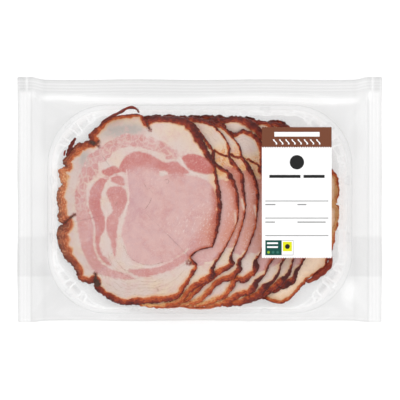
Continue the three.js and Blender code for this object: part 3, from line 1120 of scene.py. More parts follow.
# Muscles of the top slice: how deep their red is from 0 to 1, and their outlines
MUSCLES = {
    "loin": (0.08, [(-8.5, 24.5), (0, 28.5), (9, 27.5), (17.5, 23), (26, 23), (35, 22), (46, 19), (52, 12),
        (54, 1.5), (52.5, -3.5), (46, -9), (42, -14.5), (38.5, -21), (35, -27.5), (22.5, -36.5), (12, -40),
        (1.5, -40), (-6.5, -36.5), (-11, -25), (-13, -19), (-10, -5.5), (-7.5, 5), (-9, 16)]),
    "cap": (0.7, [(-13.5, 31), (-8.5, 36.5), (-1.5, 39), (7.5, 36.5), (14.5, 32.5), (19, 31), (25, 32.5),
        (28.5, 29.5), (34.5, 24), (25, 22), (17.5, 23), (8.5, 26), (-1.5, 26), (-11, 24), (-14.5, 26.5)]),
    "lens": (0.93, [(29.5, 35), (34.5, 37), (44, 35.5), (51, 31), (54, 25), (49, 23), (41.5, 24), (35, 26),
        (31, 31)]),
    "bean": (0.86, [(-27, 25), (-22.5, 27.5), (-17.5, 28.5), (-13.5, 25), (-18, 23), (-23, 21.5)]),
    "wedge": (0.68, [(-20.5, 20), (-16, 23), (-11, 19), (-11, 15), (-16, 16), (-20.5, 18)]),
    "outer strip": (0.64, [(-21.5, 21), (-28.5, 19.5), (-33, 15.5), (-35.5, 10), (-36.5, 3), (-34.5, -4),
        (-31.5, -14.5), (-31.5, -25), (-30, -32), (-25, -39), (-20, -41.5), (-22.5, -37), (-27, -32),
        (-28.5, -26.5), (-27.5, -20.5), (-24.5, -14.5), (-25, -7), (-27.5, -0.5), (-27.5, 6.5), (-26, 12.5),
        (-24, 17)]),
    "inner strip": (0.54, [(-23, 12.5), (-17.5, 14.5), (-11, 13.5), (-9, 7), (-10, 0.5), (-14, -7),
        (-16, -15.5), (-16.5, -25), (-17.5, -35.5), (-19.5, -30), (-21, -22.5), (-24, -15.5), (-23.5, -8.5),
        (-19.5, -3), (-21.5, 5), (-23.5, 8.5)]),
    "belly": (0.34, [(26.5, 38), (21.5, 42.5), (14, 46), (5.5, 49.5), (-3, 51), (-12, 51), (-19.5, 47),
        (-29.5, 40.5), (-37, 35), (-41, 26), (-45, 14), (-45.5, 3), (-44, -13.5), (-42, -25),
        (-38.5, -35.5), (-32, -45), (-22.5, -48.5), (-12.5, -50.5), (-3, -50), (-8.5, -47), (-19, -44),
        (-27.5, -38.5), (-32, -30), (-33, -21.5), (-33, -12.5), (-36, -3), (-38, 7.5), (-36.5, 17),
        (-32, 20.5), (-29.5, 24.5), (-29, 30.5), (-24, 33), (-18, 39), (-12.5, 42), (-3, 42.5), (5, 40.5),
        (14, 38), (19.5, 33.5), (26, 34.5)]),
    "sole": (0.45, [(-8, -44), (-1.5, -43.5), (7, -42.5), (14, -40.6), (22.5, -36.8), (30, -33), (36, -29),
        (37.5, -33), (32, -37.5), (24.5, -42.5), (17.5, -45.5), (9, -48), (2, -49), (-4, -47.5)]),
    "flank lean": (0.46, [(54, -2), (55.5, -14.5), (52.5, -28), (42, -31), (35.5, -35), (33.5, -30),
        (37, -22), (41, -14), (45, -8)]),
}
# Muscles of the other slices, where less shows
FAN_MUSCLES = {
    "side lean": (0.2, [(60, 45), (62, 0), (60, -50), (20, -60), (0, -30), (0, 40)]),
}
# Where their lean ends, by slice: a line under it, and one over it. The lowest slice shows none.
FAN_LEAN = {
    1: ((42.4, -40.2), (55.8, -36.2), (53.2, 18.2), (64.4, 21)),
    2: ((60.2, -28), (67, -26.4), (57.4, 27.3), (67.2, 29.4)),
    3: ((66.1, -32.6), (73.2, -31.5), (67.2, 23.8), (74.9, 25.2)),
    4: ((74.9, -34), (83, -31.5), (77, 20.3), (84.7, 21.7)),
    5: ((80, -46.5), (90, -43), (86, 20), (94, 21)),
    6: ((80.5, -46.6), (98.7, -38.2), (94, 20), (102, 21)),
    7: ((95.2, -38.5), (109.2, -32.9), (102, 20), (110, 21)),
    8: ((106.4, -42.7), (116.2, -37.8), (110, 20), (118, 21)),
    9: ((100, 80), (140, 80), (100, 80), (140, 80)),
}
POCKETS = [
    [(13.5, 24.5), (18, 25), (19.5, 23), (16, 21.5), (14, 22.5)],
    [(22.5, 33), (24, 34), (25.5, 32), (24, 31.5)],
]
SEAMS = [
    [(-9.5, 26), (-8.5, 16), (-8, 5), (-11, -4)],
    [(28.5, 34.5), (31, 28.5), (35.5, 24.5), (42, 22)],
    [(-8.5, -38.5), (-3, -41), (3.5, -42), (12.5, -41.5), (22.5, -37.5)],
    [(-23.5, -3), (-24, -10.5), (-24, -17.5)],
    [(14, 25), (19, 23)],
    [(-29.5, 21.5), (-23, 20), (-19.5, 21.5), (-12.5, 22.5)],
]
# Scorched cuts in the top slice, each with half its width
SCARS = [
    (0.5, [(-34, 46.5), (-31.5, 44.5), (-29, 45.5)]),
    (0.2, [(-31.5, 44.5), (-29, 42.5)]),
    (1.2, [(-34.5, 45.5), (-32.5, 44.8)]),
    (0.3, [(5, 58.5), (6, 56), (7, 54)]),
    (1.9, [(-31, -51.5), (-30, -54)]),
    (0.6, [(-30.5, -51), (-31.5, -47)]),
    (0.2, [(-54, -12), (-49, -7.5), (-46, -5.5)]),
    (-0.1, [(34, -37.4), (35.9, -38.5), (34.4, -40), (32.5, -38.9), (34, -37.4)]),
    (-0.3, [(12.3, -57.8), (12.5, -58)]),
]
# Scorched knots on the crust, by slice: middle and how far they reach
KNOTS = {
    0: [(54, 27.5, 0.6)],
    1: [(52.2, 32.4, 1.0), (63.7, 21, 1.2), (52.4, -46.4, 1.4)],
    2: [(63.7, 30.8, 0.8), (64.8, -36, 1.2), (62.5, 38, 0.5)],
    3: [(75.9, 26.2, 1.0), (70.4, -38.8, 1.2), (71, 37, 0.6)],
    4: [(81.5, -39.5, 1.6), (83.5, 25, 1.0)],
    5: [(82.4, -54.5, 1.8)],
    6: [(89.5, -56.5, 2.0)],
    7: [(102.5, -47.5, 2.0)],
    8: [(110, -47, 1.5), (104, -55, 1.2)],
}

# Fine dark lines: cracks in the loin, and lines between the layers of the bottom fat
CRACKS = [
    [(2.5, 17), (4, 14.5), (5.5, 11.5)],
    [(6.5, 13), (8, 11.5), (9, 10)],
    [(8, 6), (6.5, 2.5), (4, -1)],
    [(-22.5, -33), (-19.5, -40), (-13, -46), (-4, -50.5), (6, -52.5), (17, -51)],
    [(-17, -37), (-12, -43), (-5, -46.5)],
    [(-10, -53.5), (0, -56.5), (12, -56), (24, -51), (31, -44)],
    [(-4, -61), (8, -62), (17, -60.5)],
    [(24, -44.5), (30, -41), (35, -37.5)],
    [(-11.5, -27), (-8, -34), (-1.5, -38.8), (8, -40.5), (16, -38.5)],
    [(17, 18.5), (19, 19.5), (20.5, 17.5), (18.5, 16.5)],
    [(-18.5, 3.5), (-17, 1.5), (-16, 3.8)],
]

# Soft patches of colour: middle, reach along X and Y
WARM_PATCHES = [(50, -18, 7, 13)]
MAUVE_PATCHES = [(-4, 4, 8, 24), (-30, 0, 6, 30)]
FAN_WARM_PATCHES = [(57, 2, 7, 30), (51, 20, 8, 9), (54, -18, 7, 13)]
FAN_AMBER_PATCHES = [(44, 31, 14, 7), (48, 24, 9, 10)]
COOL_PATCHES = [(-17, 53, 10, 5), (-5, 54.5, 9, 4), (-39, 33, 4, 8)]
MARBLED_PATCHES = [(30, -14, 14, 12), (10, 18, 7, 5), (46, -4, 7, 10)]
CREAM_PATCHES = [(-14, 59, 16, 4), (38, 48, 8, 12), (28, 54, 10, 6), (20, -57, 14, 7)]
# Where the crust is lighter and speckled, partly with painted highlights
SPECK_AND_GLINT_PATCHES = [(-60, -4, 26, 56)]
LAYERED_PATCHES = [(0, -56, 34, 12), (-30, -44, 12, 12)]
FAN_LAYERED_PATCHES = [(34, 46, 12, 9)]

# How creamy the fat is: what single slices take from it, and the lowest one's. Below zero the fat is
# painted lighter: painted light over the whole lowest slice, which lies in shade, and a little on slice 4
# away from its amber patches
AMBER_LESS = {4: 0.25}
LOWEST_AMBER_AND_LIT_FAT = -1.0

# Loose strips of crust, by the slice that each hangs on: path with heights, widest, and how dark
FLAPS = {
    0: [([(-27, 59.4, 4), (-22, 62.6, 6), (-16.5, 65, 10), (-12.6, 66.9, 14), (-9.6, 68.6, 16.6),
          (-6.5, 69.5, 17), (-4, 69.2, 16.6), (-2.1, 68.2, 15), (-0.7, 66, 9)], 2.2, 1.0),
        ([(-51.5, 36, 2.5), (-50, 39.5, 3.4), (-48.5, 43, 4.4), (-46.8, 46, 5.2), (-45.2, 48.5, 5.6)],
         3.0, 1.0),
        ([(-53.5, 36, 2.6), (-53, 38.5, 3.4), (-52.4, 40, 3.8)], 1.4, 0.7)],
    2: [([(8, -68.5, 5), (16, -70, 5), (24, -70, 5), (30, -69, 5)], 1.8, -0.3)],
    4: [([(26, -69, 6), (36, -70.6, 6), (48, -70.6, 6), (58, -68.5, 6)], 1.8, -0.2)],
    9: [([(133, -34, 2.4), (133.6, -38.5, 2.6), (131.5, -42.5, 2.6), (127, -46.5, 2.4),
          (122.5, -49.8, 2.2), (118.5, -52, 2.2), (116.5, -51.5, 2)], 4.4, 0.6)],
}
FLAP_SIDES = 8
FLAP_TOP = 17.5
# What the points of such a strip carry, apart from their scorching and grain
FLAP_FIELDS = {"halo": (1, 0, 0), "tissue": (-9, 0, 9), "tint": (0, 0, 0), "lines": (1, 0, 9),
               "marks": (0, 0, 9)}

# How rough the outline is: height, wavelength and seed
EDGE_RIPPLES = [(0.45, 6, 20), (0.45, 2.6, 40)]
# How its crust varies along it: share, further share where it is thin, wavelength and seed
WIDTH_RIPPLES = [(0.12, 0, 9, 120), (0.04, 0.24, 6.5, 140), (0.03, 0.24, 2.9, 150)]
CHAR_RIPPLES = [(0.25, 0.25, 7, 160), (0.2, 0.2, 3.5, 180)]

# How the grid of points of the slices under the top one is drawn to what shows of them
FAN_CROWDING = 1.5
FAN_FAVOUR = 2.2

# How the slices lie on each other, and their edges
SLICE_GAP = 0.05
SLICE_SAG = 0.13
ROOM_ON_TOP = 2.2
EDGE_ROUNDING = 0.35
EDGE_REACH = 0.6
RIM_BULGE = 0.22


def patches(points, places):
    """How far each point lies in soft round patches, from 0 to 1."""
    total = np.zeros(len(points))
    for x, y, reach_x, reach_y in places:
        total += bump(np.hypot((points[:, 0] - x) / reach_x, (points[:, 1] - y) / reach_y), 1)
    return np.clip(total, 0, 1)


def side_of(points, start, end):
    """Distance from a line, positive to its left."""
    along = np.subtract(end, start)
    away = points - start
    return (along[0] * away[:, 1] - along[1] * away[:, 0]) / np.hypot(*along)


def walk_curve(points, shares):
    """Points at the given shares of the way along a curve."""
    path = curve_through(points, 0.5)
    way = np.concatenate([[0], np.cumsum(steps_along(path))])
    return np.stack([np.interp(shares * way[-1], way, part) for part in path.T], 1)


def even_steps(values, count):
    """A number, or numbers in even steps, spread over a count of points."""
    values = np.atleast_1d(values).astype(float)
    return np.interp(np.linspace(0, 1, count), np.linspace(0, 1, len(values)), values)


def softened(values, reach):
    """Values round a closed line, each mixed with those within reach."""
    window = np.hanning(2 * reach + 3)[1:-1]
    wrapped = np.concatenate([values[-reach:], values, values[:reach]])
    return np.convolve(wrapped, window / window.sum(), "valid")


class Roll:
    """The outline that all slices share, stretch by stretch, at a given fineness. Crowding draws the
    grid's points towards the edge, and favour draws them to the stretches that show on the fan."""

    def __init__(self, side, crowding=1.0, favour=1.0):
        self.side = side
        self.crowding = crowding
        lengths = []
        for name, (_, _, points) in ROLL_OUTLINE.items():
            length = steps_along(curve_through(points, 0.5)).sum()
            lengths.append(length * (favour if name in SHOWN else 1))
        ends = np.round(np.cumsum(lengths) / sum(lengths) * 4 * side).astype(int)
        self.counts = dict(zip(ROLL_OUTLINE, np.diff([0, *ends])))

    def stretches(self, number):
        """The stretches of a slice's outline, by name. Number 0 is the top slice."""
        if number == 0:
            return {name: points for name, (_, _, points) in ROLL_OUTLINE.items()}
        shift, *shown = FAN[number - 1]
        shown = dict(zip(SHOWN, shown))
        names = list(ROLL_OUTLINE)
        made = dict(shown)
        for i, name in enumerate(names):
            if name in shown:
                continue
            points = np.array(ROLL_OUTLINE[name][2], float) * HIDDEN_SHRINK + shift
            before, after = names[i - 1], names[(i + 1) % len(names)]
            start = np.array(shown[before][-1]) if before in shown else points[0]
            end = np.array(shown[after][0]) if after in shown else points[-1]
            t = np.linspace(0, 1, len(points))[:, None]
            made[name] = points + (start - points[0]) * (1 - t) + (end - points[-1]) * t
        return made

    def border(self, number):
        """A slice's outline roughened and smooth, with its crust's width, scorching and glow."""
        stretches = self.stretches(number)
        smooth, widths, chars, glows = [], [], [], []
        for name, (width, char, _) in ROLL_OUTLINE.items():
            count = self.counts[name]
            smooth.append(walk_curve(stretches[name], np.arange(count) / count))
            if number:
                width, char = FAN_CRUST.get(name, (width, char))
                width, char = OWN_CRUST.get(number, {}).get(name, (width, char))
            widths.append(even_steps(width, count))
            chars.append(even_steps(char, count))
            glow = FAN_FLANK_GLOW if number and name == "flank" else LONG_GLOWS.get(name, GLOW_REACH)
            glows.append(even_steps(glow, count) * (LOWEST_GLOW if number == len(FAN) else 1))
        smooth = np.vstack(smooth)
        widths, chars, glows = np.concatenate(widths), np.concatenate(chars), np.concatenate(glows)
        x, y = smooth.T
        rough = sum(share * ripple(x, y, length, seed + number) for share, length, seed in EDGE_RIPPLES)
        rough = rough * np.clip((widths - 0.5) / 3, 0.5, 1)
        thin = np.clip((3.5 - widths) / 2, 0, 1)
        for share, where_thin, length, seed in WIDTH_RIPPLES:
            widths = widths * (1 + (share + where_thin * thin) * ripple(x, y, length, seed + number))
        for share, where_thin, length, seed in CHAR_RIPPLES:
            chars = chars + (share + where_thin * thin) * ripple(x, y, length, seed + number)
        reach = max(2, len(smooth) // 240)
        crust = np.stack([softened(values, reach) for values in (widths, chars, glows)])
        return smooth + outward_of(smooth) * rough[:, None], smooth, crust

    def sheet(self, number):
        """A square grid of points squeezed into a slice's outline, and its borders with their crust."""
        border, smooth, crust = self.border(number)
        u, v = np.meshgrid(*[np.linspace(-1, 1, self.side + 1)] * 2)
        out = np.maximum(np.abs(u), np.abs(v))
        safe = np.where(out == 0, 1, out)
        a, b = u / safe, v / safe
        way = np.select(
            [a >= 1 - 1e-9, b >= 1 - 1e-9, a <= -1 + 1e-9],
            [(b + 1) / 8, 0.25 + (1 - a) / 8, 0.5 + (1 - b) / 8],
            0.75 + (a + 1) / 8,
        )
        at = (way * len(border)) % len(border)
        closed = np.vstack([border, border[:1]])
        edge = np.stack([np.interp(at, np.arange(len(closed)), part) for part in closed.T], -1)
        middle = np.array(FAN[number - 1][0] if number else (0, 0), float)
        points = middle + (edge - middle) * (1 - (1 - out) ** self.crowding)[..., None]
        return points.reshape(-1, 2), closed, np.vstack([smooth, smooth[:1]]), crust


def tissue_of(points, top):
    """What the rolled meat is made of at each point of the top slice's plan."""
    muscles = MUSCLES if top else FAN_MUSCLES
    depths = {name: depth_inside(points, outline) for name, (_, outline) in muscles.items()}
    weights = np.array([np.clip((d + 4) / 8, 0, 1) ** 2 for d in depths.values()]) + 1e-6
    reds = np.array([red for red, _ in muscles.values()])[:, None]
    none = np.zeros(len(points))
    far = none + 9
    made = {
        "lean": np.max(list(depths.values()), axis=0),
        "deep": (weights * reds).sum(0) / weights.sum(0),
        "warm": patches(points, WARM_PATCHES if top else FAN_WARM_PATCHES),
        "layers": patches(points, LAYERED_PATCHES if top else FAN_LAYERED_PATCHES),
        "amber_and_lit_fat": 0.3 * patches(points, CREAM_PATCHES) if top else 0.15 + patches(points, FAN_AMBER_PATCHES),
    }
    if not top:
        return made | {"belly": none, "pale": none, "specks_and_glints": none, "seam": far, "crack": far, "scar": far}
    pocket = np.max([depth_inside(points, outline) for outline in POCKETS], axis=0)
    return made | {
        "lean": np.minimum(made["lean"], -pocket),
        "warm": made["warm"] - 0.6 * patches(points, MAUVE_PATCHES),
        "belly": ease(-1.4, 1.4, depths["belly"]) * ease(-22, 6, points[:, 1]),
        "pale": patches(points, COOL_PATCHES) + 0.6 * patches(points, MARBLED_PATCHES),
        "specks_and_glints": patches(points, SPECK_AND_GLINT_PATCHES),
        "seam": nearest_line(points, SEAMS),
        "crack": nearest_line(points, CRACKS),
        "scar": np.min([nearest_line(points, [line]) - half for half, line in SCARS], axis=0),
    }


class Pile:
    """How high what already lies in the tray reaches, on a fine square grid."""

    STEP = 1.0
    REACH = 2.5

    def __init__(self):
        self.x = np.arange(-112, 113, self.STEP)
        self.y = np.arange(-84, 71, self.STEP)
        self.grid_x, self.grid_y = np.meshgrid(self.x, self.y)
        inset = -rim_distance(self.grid_x, self.grid_y)
        curl = np.clip((CURL_INSET - inset) / CURL_REACH, 0, 1.2) ** 2
        self.height = TRAY_FLOOR + SLICE_GAP + WALL_CURL * curl

    def around(self, field):
        """The field seen from each of the near places, one after another."""
        reach = int(self.REACH / self.STEP) + 1
        padded = np.pad(field, reach, mode="edge")
        rows, columns = field.shape
        for dy in range(-reach, reach + 1):
            for dx in range(-reach, reach + 1):
                if math.hypot(dx, dy) * self.STEP <= self.REACH:
                    yield padded[reach + dy : reach + dy + rows, reach + dx : reach + dx + columns]

    def draped(self):
        """The underside of a soft slice laid on the pile: nowhere lower than the pile."""
        lifted = np.max(list(self.around(self.height)), axis=0)
        return np.mean(list(self.around(lifted)), axis=0)

    def at(self, field, x, y):
        """A field of the grid at places between its points."""
        fx = np.clip((x - self.x[0]) / self.STEP, 0, len(self.x) - 1.001)
        fy = np.clip((y - self.y[0]) / self.STEP, 0, len(self.y) - 1.001)
        i, j = fx.astype(int), fy.astype(int)
        fx, fy = fx - i, fy - j
        low = field[j, i] * (1 - fx) + field[j, i + 1] * fx
        high = field[j + 1, i] * (1 - fx) + field[j + 1, i + 1] * fx
        return low * (1 - fy) + high * fy

    def lay(self, outline, underside, thickness):
        """Raises the pile under a slice to the slice's top."""
        places = np.stack([self.grid_x.ravel(), self.grid_y.ravel()], 1)
        covered = is_inside(places, outline).reshape(self.height.shape)
        self.height = np.where(covered, underside + thickness, self.height)


class Crust:
    """How far each point of a slice lies from the rim and into the crust, and how the crust is there."""

    def __init__(self, number, plan, border, smooth, crust):
        self.plan = plan
        self.rim, _ = closest(plan, border)
        reach, nearest = closest(plan, smooth)
        self.reach = np.minimum(reach, self.rim + EDGE_REACH)
        self.width, self.char, self.glow = crust[:, nearest]
        self.along = np.cumsum(steps_along(border))[nearest]
        if number in SLITS:
            from_slit, _ = closest(plan, curve_through(SLITS[number], 0.6))
            slit = SLIT_WIDTH * (1 + 0.5 * ripple(*plan.T, 4, 200 + number))
            near = from_slit / slit < self.reach / self.width
            self.rim = np.where(near, from_slit, self.rim)
            self.reach = np.where(near, from_slit, self.reach)
            self.width = np.where(near, slit, self.width)
            self.char = np.where(near, SLIT_CHAR, self.char)
        self.depth = self.reach / self.width

    def make_room(self, near):
        """Thins the crust and its glow near a sliver of fat."""
        self.glow = self.glow * (1 - 0.85 * near)
        self.width = self.width * (1 - 0.35 * near)

    def add_knot(self, x, y, size):
        near = bump(np.hypot(self.plan[:, 0] - x, self.plan[:, 1] - y), 2.2 * size)
        self.width = self.width * (1 + 0.8 * near)
        self.char = self.char + 0.7 * near

    def relief(self, x, y, number):
        """How high the crust's crags stand."""
        crags = 0.1 + 0.12 * ripple(x, y, 3.1, 80 + number)
        return crags * np.clip(1.2 - self.depth, 0, 1) * np.clip(self.width / 3, 0, 1)


def slice_mesh(side, x, y, top, bottom):
    """A slice's points and faces, with a bulging rim, and the numbers of its top's outermost points."""
    total = len(x)
    ring = grid_border(side, side)
    plan = np.column_stack([x, y])
    bulge = plan[ring] + outward_of(plan[ring]) * RIM_BULGE
    points = np.vstack([
        np.column_stack([plan, top]),
        np.column_stack([plan, bottom]),
        np.column_stack([bulge, (top[ring] + bottom[ring]) / 2]),
    ])
    waist = 2 * total + np.arange(len(ring))
    faces = [
        *grid_faces(side, side),
        *grid_faces(side, side, total, flipped=True),
        *ring_faces(waist, ring),
        *ring_faces(ring + total, waist),
    ]
    return points, faces, ring


def flap_mesh(path, width, first):
    """A closed strip along a path, as points, and faces numbered from first."""
    line = curve_through(path, 0.6)
    count = len(line)
    along = np.gradient(line[:, :2], axis=0)
    across = np.stack([-along[:, 1], along[:, 0]], 1) / np.hypot(*along.T)[:, None]
    t = np.linspace(0, 1, count)
    half = width / 2 * np.maximum(np.sin(np.pi * (0.12 + 0.8 * t)) ** 0.6, 0.1)
    half = half * (1 + 0.15 * np.sin(9 * t * np.pi))
    turn = np.arange(FLAP_SIDES) * 2 * np.pi / FLAP_SIDES
    plan = line[:, None, :2] + across[:, None, :] * (half[:, None] * np.cos(turn))[..., None]
    tall = np.clip(FLAP_TOP - line[:, 2], 0.45, 0.8)
    rise = line[:, None, 2] + tall[:, None] * np.sin(turn)
    points = np.concatenate([plan, rise[..., None]], 2).reshape(-1, 3)
    numbers = first + np.arange(count * FLAP_SIDES).reshape(count, FLAP_SIDES)
    faces = []
    for low, high in zip(numbers[:-1], numbers[1:]):
        faces.extend(ring_faces(low, high))
    return points, [*faces, numbers[0][::-1], numbers[-1]]


def make_slice(number, roll, tissue, pile, thickness, finish):
    """Lays a slice on the pile and adds it as a piece."""
    plan, border, smooth, crust = roll.sheet(number)
    crust = Crust(number, plan, border, smooth, crust)
    lean = tissue["lean"]
    amber_and_lit_fat = tissue["amber_and_lit_fat"] - AMBER_LESS.get(number, 0)
    if number == len(FAN):
        amber_and_lit_fat = np.full(len(plan), LOWEST_AMBER_AND_LIT_FAT)
    if number:
        left, right, top_left, top_right = FAN_LEAN[number]
        wobble = 1.4 * ripple(*plan.T, 6, 220 + number)
        lean = np.minimum(lean, wobble + side_of(plan, left, right))
        lean = np.minimum(lean, wobble - side_of(plan, top_left, top_right))
    if number in SLIVERS:
        from_sliver = nearest_line(plan, [SLIVERS[number]])
        lean = np.minimum(lean, from_sliver - SLIVER_WIDTH)
        crust.make_room(bump(from_sliver, 1.1))
    for knot in KNOTS.get(number, []):
        crust.add_knot(*knot)

    x, y = (plan + ROLL_PLACE).T
    underside = pile.draped() + SLICE_SAG * (1 + ripple(pile.grid_x, pile.grid_y, 42, 60 + number))
    underside = np.minimum(underside, PACK_HEIGHT - ROOM_ON_TOP)
    low = pile.at(underside, x, y)
    rounding = bump(crust.rim, EDGE_ROUNDING)
    top = low + thickness + crust.relief(x, y, number) - 0.25 * rounding
    points, faces, ring = slice_mesh(roll.side + 1, x, y, top, low + 0.2 * rounding)

    home = roll.sheet(0)[0]
    none = np.zeros(len(plan))
    offset = 37.0 * number
    fields = {
        "edge": [crust.reach, crust.width, crust.char],
        "halo": [crust.glow, tissue["specks_and_glints"], none],
        "tissue": [lean, tissue["deep"], tissue["seam"]],
        "tint": [tissue["belly"], tissue["warm"], tissue["pale"]],
        "lines": [crust.rim, tissue["layers"], tissue["crack"]],
        "marks": [crust.along, amber_and_lit_fat, tissue["scar"]],
        "grain": [home[:, 0] + offset, home[:, 1] - offset, none + offset],
    }
    for name, values in fields.items():
        field = np.stack(values, 1)
        fields[name] = np.vstack([field, field, field[ring]])
    for path, width, char in FLAPS.get(number, []):
        strip, strip_faces = flap_mesh(np.array(path, float), width, len(points))
        points = np.vstack([points, strip + (*ROLL_PLACE, 0)])
        faces.extend(strip_faces)
        carried = FLAP_FIELDS | {"edge": (1.0, 2.5, char), "grain": strip}
        for name, values in carried.items():
            fields[name] = np.vstack([fields[name], np.broadcast_to(values, strip.shape)])

    add_mesh(f"slice_{number + 1:02d}", points, faces, finish, fields)
    pile.lay(border + ROLL_PLACE, underside, thickness)


class ROASTPORK_OT_slices(bpy.types.Operator):
    """Makes the slices of roast pork, from the lowest one up, each draped over those under it"""

    bl_idname = "roastpork.slices"
    bl_label = "Slices"

    def execute(self, context):
        sizes = sizes_of(context)
        shared = (Pile(), sizes.slice_thickness / MM, meat_finish(colours_of(context)))
        roll = Roll(sizes.fan_fineness, FAN_CROWDING, FAN_FAVOUR)
        tissue = tissue_of(roll.sheet(0)[0], top=False)
        for number in range(len(FAN), 0, -1):
            make_slice(number, roll, tissue, *shared)
        roll = Roll(sizes.top_fineness)
        make_slice(0, roll, tissue_of(roll.sheet(0)[0], top=True), *shared)
        return {"FINISHED"}


# Label. Its print is laid out in millimetres from the top left corner of the paper.

BAND_HEIGHT = 14.3
TOOTH_PITCH = 1.68
TOOTH_DEPTH = 0.75
STROKE_PITCH = 4.3
STROKE_BOX = (7.5, 41.0, 8.8, 12.4)
# From the lowest layer up: ink, then a box's left, right, top and bottom, or a disc's middle and radius
PRINT = [
    ("paper", 8.7, 40.2, 3.7, 6.9),
    ("black_ink", 24.4, 24.8, 5.0),
    ("black_ink", 5.2, 26.9, 33.6, 35.7),
    ("black_ink", 29.0, 43.7, 33.6, 35.7),
    ("grey_ink", 2.4, 46.3, 51.5, 52.1),
    ("grey_ink", 2.4, 9.4, 53.9, 54.7),
    ("grey_ink", 24.8, 31, 53.9, 54.7),
    ("grey_ink", 2.4, 46.3, 63.4, 64.0),
    ("grey_ink", 2.4, 9, 66.1, 66.9),
    ("grey_ink", 24.8, 44.4, 66.1, 66.9),
    ("grey_ink", 2.4, 46.3, 75.6, 76.2),
    ("grey_ink", 2.4, 22.0, 79.1, 89.6),
    ("green_ink", 2.4, 13.6, 79.1, 89.6),
    ("paper", 13.9, 21.7, 79.4, 89.3),
    ("yellow_ink", 14.6, 20.9, 80.2, 86.8),
    ("black_ink", 17.8, 83.5, 1.7),
    ("paper", 3.6, 11.2, 80.6, 81.8),
    ("paper", 3.6, 11.2, 83.3, 84.5),
    ("lime_ink", 4.6, 87.5, 0.95),
    ("mid_green_ink", 7.8, 87.5, 0.95),
    ("mid_green_ink", 11.0, 87.5, 0.95),
]


def box_mask(u, v, left, right, top, bottom):
    """1 inside an upright box."""
    across = abs(u - (left + right) / 2) - (right - left) / 2
    down = abs(v - (top + bottom) / 2) - (bottom - top) / 2
    return across.highest(down) < 0


def disc_mask(u, v, x, y, radius):
    across, down = u - x, v - y
    return across * across + down * down < radius * radius


def label_finish(colours):
    low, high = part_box("label")
    finish = Finish("printed paper")
    place = finish.node("ShaderNodeTexCoord", {}, {}, "Object")
    x, y, _ = finish.split(place)
    u = (x - low[0]) / MM
    v = (high[1] - y) / MM
    paper_grain = finish.noise(place, 900, 3)
    paint = finish.blend(paper_grain * 0.25, colours.paper, [c * 0.97 for c in colours.paper])

    # The band with its toothed edge, and a row of slanted strokes on it
    tooth = abs((u / TOOTH_PITCH).fraction() - 0.5) * (2 * TOOTH_DEPTH)
    paint = finish.blend(v + tooth < BAND_HEIGHT + TOOTH_DEPTH / 2, paint, colours.brown_ink)
    stroke = ((u - 7.05) / STROKE_PITCH).fraction() - 0.5
    slanted = stroke + 0.12 * ((v - 8.3) * 1.5).sine() - (v - 10.4) * 0.09
    paint = finish.blend((abs(slanted) < 0.12) * box_mask(u, v, *STROKE_BOX), paint, colours.paper)
    for ink, *shape in PRINT:
        mask = box_mask(u, v, *shape) if len(shape) == 4 else disc_mask(u, v, *shape)
        paint = finish.blend(mask, paint, getattr(colours, ink))
    return finish.done(finish.surface({
        "Base Color": paint,
        "Roughness": 0.55,
        "Specular IOR Level": 0.3,
        "Normal": finish.bumps(paper_grain, 0.08, 0.05 * MM),
    }))


class ROASTPORK_OT_label(bpy.types.Operator):
    """Prints the paper label: its coloured fields, rules and plain shapes"""

    bl_idname = "roastpork.label"
    bl_label = "Label"

    def execute(self, context):
        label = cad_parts["label"]
        label.data.materials.clear()
        label.data.materials.append(label_finish(colours_of(context)))
        return {"FINISHED"}


def length(name, description, default):
    return bpy.props.FloatProperty(name=name, description=description, default=default, unit="LENGTH",
                                   precision=5)


def colour(name, description, screen):
    return bpy.props.FloatVectorProperty(name=name, description=description, default=linear(*screen),
                                         subtype="COLOR", size=3, min=0, max=1)


class RoastPorkSizes(bpy.types.PropertyGroup):
    slice_thickness: length("Slice thickness", "Thickness of one slice", 0.00115)
    film_thickness: length("Film thickness", "Thickness of the two sheets where they are sealed", 0.0003)
    tray_wall: length("Tray wall", "Thickness of the tray's plastic", 0.0004)
    floor_width: length("Floor width", "Side of the square floor", 8.0)
    floor_gap: length("Floor gap", "How far the floor lies under the bag", 0.0004)
    camera_height: length("Camera height", "Height of the camera over the floor", 2.109)
    light_power: bpy.props.FloatProperty(
        name="Light", description="Power of the main lamp", default=5.0, unit="POWER")
    room_light: bpy.props.FloatProperty(
        name="Room light", description="Brightness of the even light from all round", default=0.85)
    top_fineness: bpy.props.IntProperty(
        name="Top slice fineness", description="Faces along each side of the top slice's grid", default=190)
    fan_fineness: bpy.props.IntProperty(
        name="Fan fineness", description="Faces along each side of the other slices' grids", default=112)


